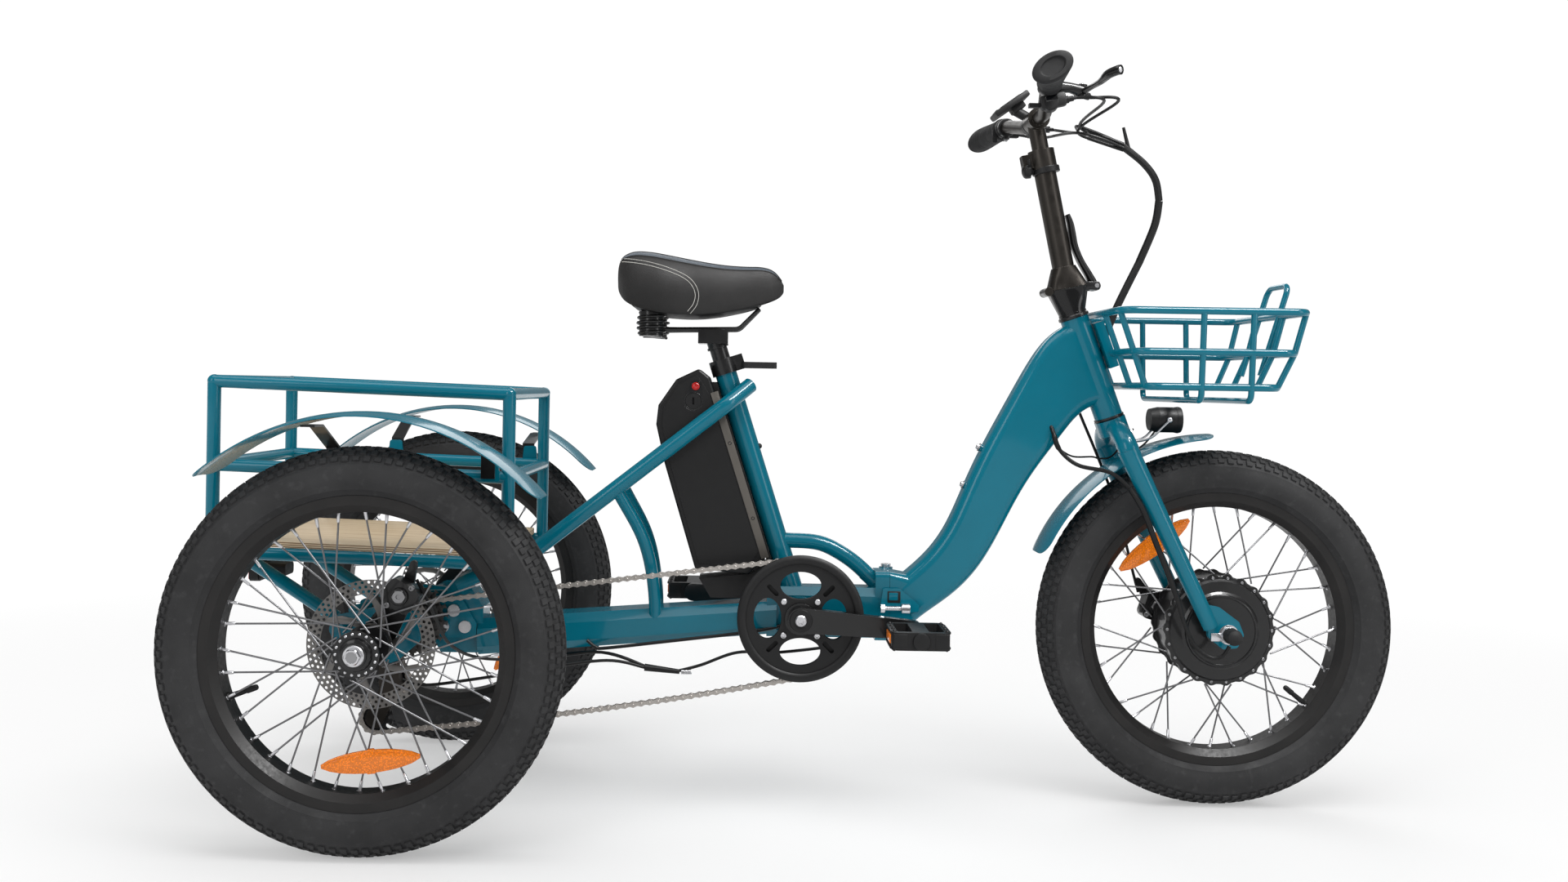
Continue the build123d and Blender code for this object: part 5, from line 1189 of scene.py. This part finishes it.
def make_cockpit_cables(starts):
    """Thin cables from the controls to the bundle, then the bundle down to the main tube."""
    for number, (start, ahead) in enumerate(starts):
        turn = 1.2 * number
        side = Vector((0, *polar(4.0, 60 * turn)))
        points = [start, start + ahead, BUNDLE[0] + side * 2, BUNDLE[1] + side,
                  BUNDLE[2] + side * 0.6]
        hose(f"control_cable_{number}", points, CABLE, "bars")
    sleeves = Shape()
    for number in range(3):
        shift = Vector((0, *polar(5.0, 120 * number + 20)))
        sleeves.add(tube([BUNDLE[0].lerp(BUNDLE[1], 0.2) + shift * 1.3,
                          BUNDLE[1] + shift], lambda t: 4.4 - 1.4 * abs(2 * t - 1) ** 6, 12))
    tie = BUNDLE[1] + Vector((8, -1, -3))
    sleeves.add(tube([tie, tie + Vector((-9, -2, 33))], lambda t: 3.4 - t, 10))
    sleeves.build("connectors", "bars", cable_cover)
    hose("bundle_top", BUNDLE[1:5], 5.8, "bars", blend=("stem", BUNDLE[1], BUNDLE[4]))
    hose("bundle_bow", BUNDLE[4:7], 6.2, "stem", blend=("steering", BUNDLE[4], BUNDLE[6]))
    hose("bundle_foot", BUNDLE[6:], 6.2, "steering", blend=("front_half", BUNDLE[6], BUNDLE[10]))


def make_fork_cables():
    """Front brake hose and motor cable from the main tube, each with slack for steering."""
    brake = [Vector(p) for p in ((408, 6, 622), (420, 14, 598), (443, 26, 552), (468, 40, 500),
                                 (488, 52, 452), (505, 62, 400), (520, 70, 350), (530, 74, 318))]
    hose("front_brake_hose_top", brake[:4], CABLE, "front_half",
         blend=("steering", brake[0], brake[3]))
    hose("front_brake_hose_low", brake[3:], CABLE, "steering")
    slack = [Vector(p) for p in ((360, -14, 596), (364, -30, 580), (373, -38, 552),
                                 (400, -46, 529), (446, -62, 519), (474, -72, 496))]
    leg = [Vector(p) for p in ((474, -72, 496), (493, -78, 462), (512, -78, 415),
                               (532, -77, 368), (546, -78, 330), (556, -79, 296),
                               (572, -80, 262), (594, -84, 244), (612, -88, 246),
                               (622, -90, 262))]
    hose("motor_cable_top", slack, lambda t: 3.2 + 0.8 * (0.25 < t < 0.4), "front_half",
         blend=("steering", slack[1], slack[5]))
    hose("motor_cable_low", leg, lambda t: 4.6 - 1.6 * min(1, max(0, t * 4 - 1.6)), "steering")
    thin = [Vector(p) for p in ((373, -34, 553), (398, -20, 541), (433, 0, 540),
                                (448, 8, 537), (470, 14, 543), (500, 10, 585))]
    hose("lamp_cable", thin, 1.4, "front_half", blend=("steering", thin[0], thin[5]))


def make_rear_cables():
    """Brake cable pair and gear cable under the boom, with the splitter and its spring."""
    trunk = smooth_path([(74, -16, 266), (60, -20, 246), (14, -30, 239), (-60, -40, 232),
                         (-120, -45, 232), (-175, -45, 212), (-211, -45, 202)])
    gear = smooth_path([(-262, -46, 207), (-320, -52, 218), (-420, -62, 206), (-520, -72, 190),
                        (-600, -80, 182), (-640, -84, 200)])
    cables = Shape()
    cables.add(tube(trunk, CABLE, 10))
    cables.add(tube([(-262, -45, 207), (-208, -45, 201)], lambda t: 5.6 - 2 * t ** 4, 20))
    cables.add(tube(gear, CABLE, 10))
    for side in (-1, 1):
        run = smooth_path([(-260, -44, 208), (-330, -30, 226), (-430, side * 14, 212),
                           (-510, side * 60, 220), (-540, side * 150, 258),
                           (-548, side * 215, 310), (-556, side * 246, 346),
                           (-566, side * 250, 366)])
        cables.add(tube(run, CABLE, 10))
    cables.add(tube(smooth_path([(-352, -38, 246), (-338, -40, 236), (-322, -40, 234.7),
                                 (-220, -40, 247.5), (-120, -40, 260.3), (-70, -36, 268),
                                 (-40, -30, 276)]), 2.6, 10))
    cables.build("rear_cables", "frame", cable_cover)
    steps = 9 * 12
    coil = [Vector((-206 + 16 * t / steps, *polar(3.6, 30 * t))) + Vector((0, -45, 201))
            for t in range(steps)]
    Shape().add(tube(coil, 0.6, 6)).build("splitter_spring", "frame", bright_steel)


# ---- wheel, drive and frame details ---------------------------------------------------

def turned_out(centre, y):
    """Place on a wheel's axis at this y: Z points away from the centre plane."""
    return facing((centre.x, y, centre.z), (0, math.copysign(1, y), 0))


def ring_cell(inner, outer, start, turn, hole, thickness):
    """Piece of a disc with one drilled hole, from two radii and its angles."""
    mid_radius, mid_angle = (inner + outer) / 2, start + turn / 2
    rim = [(inner, start), (inner, mid_angle), (inner, start + turn),
           (mid_radius, start + turn), (outer, start + turn), (outer, mid_angle),
           (outer, start), (mid_radius, start)]
    edge = [Vector(polar(r, a)) for r, a in rim]
    centre = Vector(polar(mid_radius, mid_angle))
    bore = [centre + (point - centre).normalized() * hole for point in edge]
    rings = [[(*p, z) for p in line] for line, z in (
        (edge, 0), (bore, 0), (bore, thickness), (edge, thickness))]
    return skin(rings, capped=False)


def make_rotor(name, body, centre, y, radius, hub):
    """Drilled brake disc on six swept arms."""
    rotor = Shape()
    place = facing((centre.x, y, centre.z), (0, -1, 0))
    place = place @ Matrix.Translation((0, 0, -1))
    rows, cells = 3, 60
    width = 6.4
    for row in range(rows):
        outer = radius - 0.6 - width * row
        for cell in range(cells):
            turn = 360 / cells
            start = turn * (cell + 0.5 * (row % 2))
            rotor.add(ring_cell(outer - width, outer, start, turn, 2.3, 2.0), place)
    reach = radius - width * rows
    for arm in range(6):
        outline = []
        for side in (-1, 1):
            run = [(hub + (reach - hub) * t, 60 * arm + 34 * t + side * (9 - 4.5 * t))
                   for t in (0, 0.33, 0.66, 1)]
            outline += [polar(*p) for p in run[::side]]
        rotor.add(plate(outline, 2.0, 0.3), place)
        rotor.add(socket_screw(4, 2.4), place @ Matrix.Translation(
            (*polar(hub - 5, 60 * arm + 10), 2)), 1)
    rotor.add(lathe([(0, hub - 12), (0, hub + 1), (2, hub + 1), (2, hub - 12)], 64, closed=True),
              place)
    finish = front_disc if body == "front_wheel" else rear_disc
    rotor.build(name + "_drilled", body, finish, plain_steel, stands_for=(name,))


def make_motor_details():
    """Scalloped and bolted cover rims, raised rings, and the axle's nut and rubber cap."""
    lobes = 22
    cover = Shape()
    for side in (-1, 1):
        place = turned_out(FRONT_AXLE, side * 29.4)

        def scallop(angle):
            return 85.2 + 1.8 * math.cos(math.radians(lobes * angle))

        cover.add(lathe([(0, 76), (0, scallop), (3.2, scallop), (4.2, 82.6), (4.2, 76)],
                        264, closed=True), place)
        for lobe in range(lobes):
            spot = place @ Matrix.Translation((*polar(81, 360 * lobe / lobes), 4))
            cover.add(socket_screw(2.3, 1.5), spot, 1)
        cover.add(lathe([(13, 51), (14.6, 52), (15, 53.5), (14.6, 55), (12, 56.5)], 128,
                        closed=True), place)
    cover.build("motor_covers", "front_wheel", black_paint, plain_steel, sharp=28)
    nuts = Shape()
    for side in (-1, 1):
        nuts.add(lathe([(0, 7), (0, 15), (1.6, 15), (1.6, 7)], 40, closed=True),
                 turned_out(FRONT_AXLE, side * 73.4))
        nuts.add(hex_nut(12.6, 10, 0.55), turned_out(FRONT_AXLE, side * 74.6))
    nuts.add(block(26, 12, 1.8, 0.5), side_view(FRONT_AXLE.x - 14, FRONT_AXLE.z - 4, -74.8))
    nuts.build("motor_axle_nuts", "steering", bright_steel)
    cap = Shape()
    cap.add(lathe([(0, 11.5), (6, 12.4), (10, 10.5), (13, 10.2), (19, 12.2), (24, 11), (27, 7.5),
                   (28.5, 3)], 40), turned_out(FRONT_AXLE, -80))
    cap.build("motor_axle_cap", "steering", grip_rubber)


def make_hub_details(side, body):
    """Spoke heads round the rear hub, its end cap and the axle nut."""
    sign = SIDES[side]
    hub = Shape()
    outer = abs(middle(side + "_tyre").y) + 26
    place = turned_out(REAR_AXLE, sign * (outer + 1.6))
    for spoke in range(18):
        hub.add(dome(2.2, 1.4, 12), place @ Matrix.Translation((*polar(27.5, 20 * spoke), 0)), 1)
    ends = turned_out(REAR_AXLE, sign * 343)
    hub.add(lathe([(-14, 22), (-6, 20), (-4, 17.5), (0, 17), (0, 12), (-3, 11)], 64), ends)
    hub.add(lathe([(-2, 7), (-2, 14), (0, 14.4), (1, 13.6), (1, 7)], 48, closed=True), ends, 1)
    hub.add(hex_nut(11.6, 9, 0.62), ends, 1)
    hub.build(side + "_hub_details", body, black_paint, bright_steel)


CALIPERS = {                                 # centre in the side view, outer face y, body
    "right": (-585, 345, -269.2, "frame"), "left": (-585, 345, 269.2, "frame"),
    "front": (550, 300, 37.8, "steering")}


def make_caliper_details(name):
    x, z, y, body = CALIPERS[name]
    out = -1 if name == "front" else math.copysign(1, y)
    parts = Shape()
    place = facing((x, y, z), (0, out, 0))
    parts.add(lathe([(-1, 12.5), (2, 12.5), (3, 11.5), (3, 9.6), (2, 9.4)], 40), place)
    parts.add(lathe([(1, hexagon(10)), (4, hexagon(10)), (5, 8.4), (5, 3.6), (3, 3.4)], 48),
              place, 1)
    for lean in (-1, 1):
        spot = place @ Matrix.Translation((17 * lean, 12 * lean, -1))
        parts.add(socket_screw(4, 4.5), spot, 1)
    parts.add(block(52, 15, 5, 2), place @ Matrix.Translation((0, -4, -9)))
    parts.build(name + "_caliper_details", body, black_paint, plain_steel)


CRANK_FACE = 99.8


def make_drive_details():
    """Crank bolts, chainring bolts and the guard's rounded rim."""
    drive = Shape()
    face = turned_out(BRACKET, -83)
    drive.add(lathe([(-3, 84), (1.5, 82.5), (3.4, 84.5), (4.2, 88.5), (3.4, 93), (1, 95.8),
                     (-2, 96.2)], 180, closed=True), face)
    for spoke in range(4):
        turn = 90 * spoke + 45
        spot = face @ Matrix.Translation((*polar(36, turn), 0))
        drive.add(socket_screw(4.6, 2.4), spot, 1)
    for side in (-1, 1):
        end = turned_out(BRACKET, side * CRANK_FACE)
        drive.add(lathe([(0, 17.5), (2.4, 16.5), (2.8, 14), (1.6, 11.5)], 48), end)
        drive.add(socket_screw(8.6, 4.6), end, 1)
    drive.build("drive_details", "crank", moulded, bright_steel)


def make_pedal_details(side):
    """Amber reflectors in both edges of the cage, grip studs and the axle's end cap."""
    spot = pivot(side + "_pedal_spin")
    low_y, high_y = low(side + "_pedal").y, high(side + "_pedal").y
    centre = Vector((spot.x, (low_y + high_y) / 2, spot.z))
    cage = Shape()
    for ahead in (-1, 1):
        edge = centre + Vector((42 * ahead, 0, 0))
        cage.add(block(3.4, 46, 13, 1), Matrix.Translation(edge), 1)
        for rise in (-1, 1):
            cage.add(block(6, 62, 4, 1.2), Matrix.Translation(edge + Vector((-ahead, 0, 11 * rise))))
            for step in (-1.5, -0.5, 0.5, 1.5):
                stud = centre + Vector((38 * ahead, 22 * step, 12.5 * rise))
                cage.add(dome(3, 3.2, 10), facing(stud, (0, 0, rise)))
        for along in (-1, 1):
            side_edge = centre + Vector((30 * ahead, 43 * along, 0))
            cage.add(block(20, 3.4, 22, 1), Matrix.Translation(side_edge))
    outer = math.copysign(1, centre.y)
    cage.add(lathe([(0, 13), (3, 12), (4, 8), (4, 3)], 32),
             facing((centre.x, high_y if outer > 0 else low_y, centre.z), (0, outer, 0)))
    cage.build(side + "_pedal_details", side + "_pedal", moulded, amber)


def make_hinge_details():
    """Latch plate's recess and its swing bolt, and the screws in the bottle bosses."""
    latch = Shape()
    face = low("frame_latch").y
    latch.add(block(20, 18, 2, 1), side_view(121, 320, face))
    latch.add(block(14, 12, 2.4, 0.8), side_view(120, 321, face - 0.2), 1)
    thread_y = face - 3
    turns = [(h, 3.2 + 0.5 * (h % 2)) for h in range(0, 36)]
    latch.add(lathe(turns, 16), facing((100, thread_y, 303), (1, 0, 0)), 2)
    latch.add(hex_nut(7, 6), facing((101, thread_y, 303), (1, 0, 0)), 2)
    latch.add(lathe([(0, 5), (1, 7.4), (13, 7.4), (14, 5)], 24),
              facing((132, thread_y, 303), (1, 0, 0)), 2)
    latch.build("latch_details", "frame_latch", moulded, teal, bright_steel)
    screws = Shape()
    for x, z in ((255, 552.2), (230.7, 493)):
        mouth = facing((x, 0, z), (-0.9253, 0, 0.3793))
        screws.add(lathe([(-1, 6), (0, 6.8), (1, 6.4), (1, 3)], 24), mouth)
        screws.add(socket_screw(4.4, 4.6), mouth, 1)
    screws.build("boss_screws", "front_half", plain_steel, bright_steel)


def make_head_details():
    """Bearing races at both ends of the head tube and the fender's bracket on the crown."""
    top = pivot("steer")
    foot = top - HEAD_AXIS * 165
    races = Shape()
    races.add(lathe([(-4, 18), (-4, 22.4), (-2, 23.6), (1.2, 23.6), (1.6, 22)], 64),
              facing(foot, HEAD_AXIS))
    races.add(lathe([(-0.6, 22), (0.4, 24), (4, 24), (6, 22)], 64), facing(top, HEAD_AXIS))
    races.build("head_races", "steering", black_paint)
    weld = Shape()
    weld.add(tube(smooth_path([(78, 0, 353), (92, 0, 341), (104, 0, 330)]), 12.2, 24))
    weld.build("gusset_weld", "frame", teal)
    bracket = Shape()
    bracket.add(block(4, 22, 34, 1.5), facing(foot + Vector((22, 0, -36)), HEAD_AXIS))
    bracket.add(socket_screw(5, 4), facing(foot + Vector((-8, 0, -30)), (-1, 0, 0.2)), 1)
    bracket.add(hex_nut(6, 5), facing(foot + Vector((32, 0, -24)), (1, 0, 0)), 1)
    bracket.build("fender_bracket", "steering", teal, bright_steel)


def make_lamp_details():
    """Headlight's bezel, lens, wire bracket and cable; the tail light's red lens."""
    front = Vector((high("headlight").x, 0, middle("headlight").z))
    lamp = Shape()
    lamp.add(lathe([(-8, 20.2), (-3, 21), (0.6, 20), (0.6, 17.6), (-2, 17.4)], 48),
             facing(front, (1, 0, 0)))
    lamp.add(lathe([(-3, 18), (-1, 17.6), (0.4, 12), (1, 5)], 48), facing(front, (1, 0, 0)), 1)
    lamp.add(lathe([(-6, 17), (-5, 9), (-9, 4)], 32), facing(front, (1, 0, 0)), 2)
    lamp.build("headlight_face", "steering", moulded, clear, bright_steel)
    wires = Shape()
    for side in (-1, 1):
        wires.add(tube(smooth_path([(480, side * 6, 576), (496, side * 10, 566),
                                    (520, side * 17, 572), (538, side * 21.5, 590),
                                    (548, side * 22, 600)]), 1.8, 10))
        wires.add(dome(4.5, 3), facing((548, side * 21, 600), (0, side, 0)))
    wires.build("headlight_bracket", "steering", bright_steel)
    hose("headlight_wire", [Vector(p) for p in ((530, -4, 582), (512, -10, 562), (494, -12, 552),
                                                (482, -4, 560))], 1.5, "steering")
    tail = Vector((low("tail_light").x, 0, 342))
    rear = Shape()
    rear.add(block(6, 60, 25, 2.4), Matrix.Translation(tail + Vector((0.5, 0, 0))))
    rear.add(block(3, 18, 16, 1), Matrix.Translation(tail + Vector((-2.2, 0, 0))), 1)
    rear.build("tail_lens", "frame", red_lens, amber)


def behind_seat(height, gap):
    """Point of the side view this far behind the seat tube's axis, at this height."""
    back = Vector((-SEAT_AXIS.z, 0, SEAT_AXIS.x))
    along = (height - BRACKET.z - back.z * gap) / SEAT_AXIS.z
    spot = BRACKET + SEAT_AXIS * along + back * gap
    return spot.x, spot.z


def pear(top, top_radius, foot, foot_radius):
    """Outline round two circles, one above the other."""
    points = [Vector(top) + Vector(polar(top_radius, turn)) for turn in range(-10, 200, 15)]
    points += [Vector(foot) + Vector(polar(foot_radius, turn)) for turn in range(170, 380, 15)]
    return [(p.x, p.y) for p in points]


def pierced_plate(outline, holes, thickness):
    """Flat plate with openings, in local X and Y, rising from local Z 0."""
    made = bmesh.new()
    for loop in (outline, *holes):
        verts = [made.verts.new((x, y, 0)) for x, y in loop]
        for start, end in zip(verts, verts[1:] + verts[:1]):
            made.edges.new((start, end))
    bmesh.ops.triangle_fill(made, use_beauty=True, edges=made.edges[:])
    grown = bmesh.ops.extrude_face_region(made, geom=made.faces[:])
    raised = [item for item in grown["geom"] if isinstance(item, bmesh.types.BMVert)]
    bmesh.ops.translate(made, verts=raised, vec=(0, 0, thickness))
    return from_bmesh(made)


def circle_outline(centre, radius, steps=40):
    """Points round a circle in local X and Y."""
    return [(centre[0] + x, centre[1] + y)
            for x, y in (polar(radius, 360 * i / steps) for i in range(steps))]


def make_battery_details():
    """Raised side panels, and the well round the lock and the button."""
    lock = pivot("battery_key_turn")
    lock_spot = (lock.x, lock.z)
    button_spot = (middle("battery_button").x, middle("battery_button").z)
    side = high("battery_pack").y
    panel = [behind_seat(386, 33), behind_seat(630, 33), behind_seat(648, 39), (-189, 659),
             (-217, 644), (-240, 608), (-242, 581), (-229, 522), (-182, 368), behind_seat(363, 52)]
    well = pear(button_spot, 9.5, lock_spot, 15)
    shell = Shape()
    shell.add(pierced_plate(panel, [well], 1.1), side_view(0, 0, -side + 0.2))
    other = Matrix(((-1, 0, 0, 0), (0, 0, 1, side - 0.2), (0, 1, 0, 0), (0, 0, 0, 1)))
    shell.add(pierced_plate([(-x, z) for x, z in panel], [], 1.1), other)
    bores = [circle_outline(button_spot, 6.4), circle_outline(lock_spot, 12.4)]
    shell.add(pierced_plate(well, bores, 0.5), side_view(0, 0, -side + 0.1), 1)
    for spot, radius in ((button_spot, 6.6), (lock_spot, 12.6)):
        shell.add(lathe([(0, radius), (0.9, radius), (0.9, radius + 1), (0, radius + 1.3)], 48,
                        closed=True), side_view(*spot, -side), 1)
    shell.build("battery_panels", "battery", battery_shell, screen)
    lens_cap = Shape()
    lens_cap.add(dome(5, 1.2), side_view(*button_spot, low("battery_button").y))
    lens_cap.build("button_lens", "battery_button", red_lens)


CHANNEL_LENGTH = 268.0
CHANNEL_MIDDLE = 505.0                       # height
LIP_GAP = 25.2                               # from the seat tube's axis


def make_battery_channel():
    """Alloy channel behind the seat tube that holds the battery, and a boss on the tube's front."""
    channel = Shape()
    x, z = behind_seat(CHANNEL_MIDDLE, LIP_GAP)
    for edge in (-1, 1):
        channel.add(block(1.4, 12, CHANNEL_LENGTH, 0.4), facing((x, edge * 39.3, z), SEAT_AXIS))
    for height in (553.9, 438.5):
        x, z = behind_seat(height, LIP_GAP)
        channel.add(lathe([(-0.2, 2.8), (0.3, 2.8), (0.3, 1.8), (-0.1, 1.6)], 24),
                    side_view(x, z, -40), 1)
    x, z = behind_seat(CHANNEL_MIDDLE, 21.5)
    channel.add(block(79, 3.4, CHANNEL_LENGTH, 0.4), facing((x, 0, z), SEAT_AXIS))
    x, z = behind_seat(548.5, -17)
    channel.add(dome(4.4, 4), facing((x, 0, z), (SEAT_AXIS.z, 0, -SEAT_AXIS.x)), 1)
    channel.build("battery_channel", "frame", rail_alloy, moulded)


# ---- studio -------------------------------------------------------------------------

def white_world():
    """Soft grey light for the object; the camera itself sees a white background."""
    world = bpy.data.worlds.new("studio")
    bpy.context.scene.world = world
    world.use_nodes = True
    tree = world.node_tree
    background = tree.nodes["Background"]
    path = tree.nodes.new("ShaderNodeLightPath")
    mirrored = tree.nodes.new("ShaderNodeMapRange")
    mirrored.inputs["To Min"].default_value = 0.55
    mirrored.inputs["To Max"].default_value = 0.22
    tree.links.new(path.outputs["Is Glossy Ray"], mirrored.inputs["Value"])
    strength = tree.nodes.new("ShaderNodeMix")
    strength.inputs["B"].default_value = 1.05
    tree.links.new(path.outputs["Is Camera Ray"], strength.inputs["Factor"])
    tree.links.new(mirrored.outputs[0], strength.inputs["A"])
    tree.links.new(strength.outputs["Result"], background.inputs["Strength"])
    background.inputs["Color"].default_value = (1, 1, 1, 1)


def pale_floor():
    """White floor whose far part glows like the backdrop, so that no horizon shows."""
    size = 30.0
    mesh = bpy.data.meshes.new("floor")
    mesh.from_pydata([(-size, -size, 0), (size, -size, 0), (size, size, 0), (-size, size, 0)],
                     [], [(0, 1, 2, 3)])
    finish = Finish("floor", (0.86, 0.86, 0.86), 0.75)
    finish.bump(finish.noise(3, 2), 0.05)
    glow = finish.node("Emission")
    glow.inputs["Strength"].default_value = 1.05
    reach = finish.node("VectorMath", operation="LENGTH")
    finish.link(finish.place, reach, 0)
    mix = finish.node("MixShader")
    finish.link(finish.ramp(reach.outputs["Value"], 0.5, 3.2, 0.3, 1.0), mix, 0)
    finish.link(finish.shader.outputs[0], mix, 1)
    finish.link(glow.outputs[0], mix, 2)
    finish.link(mix.outputs[0], finish.tree.nodes["Material Output"], "Surface")
    mesh.materials.append(finish.material)
    floor = bpy.data.objects.new("floor", mesh)
    bpy.context.scene.collection.objects.link(floor)


def softbox(name, place, target, size, power, streak=False):
    """Area lamp; a streak only shows in glossy surfaces."""
    data = bpy.data.lights.new(name, "AREA")
    data.shape = "RECTANGLE"
    data.size, data.size_y = size
    data.energy = power
    lamp = bpy.data.objects.new(name, data)
    lamp.visible_diffuse = not streak
    lamp.location = place
    lamp.rotation_euler = (Vector(target) - Vector(place)).to_track_quat("-Z", "Y").to_euler()
    bpy.context.scene.collection.objects.link(lamp)


def make_camera():
    data = bpy.data.cameras.new("camera")
    data.lens = 31.42
    data.shift_x = 0.0229
    data.shift_y = -0.0354
    camera = bpy.data.objects.new("camera", data)
    camera.location = (-0.1097, -2.152, 0.6433)
    roll = math.radians(0.93)
    camera.rotation_euler = (math.radians(90), 0, 0)
    camera.rotation_euler.rotate_axis("Z", roll)
    bpy.context.scene.collection.objects.link(camera)
    bpy.context.scene.camera = camera


def make_studio():
    white_world()
    pale_floor()
    softbox("top_light", (-0.2, -0.6, 2.9), (0, 0, 0.4), (3.4, 1.6), 48)
    softbox("side_light", (-2.2, -2.6, 1.7), (-0.1, 0, 0.5), (1.2, 1.8), 24)
    softbox("front_light", (2.4, -1.6, 1.3), (0.2, 0, 0.6), (0.8, 1.6), 14)
    softbox("back_light", (0.4, 2.4, 2.0), (0, 0, 0.4), (2.6, 1.0), 20)
    softbox("streak_light", (1.3, -1.2, 2.7), (0, 0, 0.5), (1.7, 0.5), 130, streak=True)
    make_camera()
    settings = bpy.context.scene.view_settings
    settings.view_transform = "Standard"
    settings.look = "None"


dress_cad_nodes()
make_tyre("right", "right_wheel", 0.7)
make_tyre("left", "left_wheel", 1.9)
make_tyre("front", "front_wheel")
make_wheel_details("right", "right_wheel", 31, 26, 62, (147, -83, 8), 200)
make_wheel_details("left", "left_wheel", 31, 26, 62, (150, -40, 8), 120)
make_wheel_details("front", "front_wheel", 84, 31, 24, (160, 127, 8), -39)
make_chain()
make_saddle()
for side in SIDES:
    make_grip(side)
    make_brake_lever(side)
make_display()
make_bell()
make_stem_lever()
ahead = Vector((40, 0, -4))
make_cockpit_cables([(make_perch("right"), ahead), (make_perch("left"), ahead),
                     (make_shifter(), ahead), (make_throttle(), ahead)])
make_fork_cables()
make_rear_cables()
make_rotor("right_rotor", "right_wheel", REAR_AXLE, middle("right_rotor").y, 90, 28)
make_rotor("left_rotor", "left_wheel", REAR_AXLE, middle("left_rotor").y, 90, 28)
make_rotor("front_rotor", "front_wheel", FRONT_AXLE, middle("front_rotor").y, 80, 34)
make_motor_details()
for side in SIDES:
    make_hub_details(side, side + "_wheel")
    make_pedal_details(side)
for name in CALIPERS:
    make_caliper_details(name)
make_drive_details()
make_hinge_details()
make_head_details()
make_lamp_details()
make_battery_details()
make_battery_channel()
make_studio()
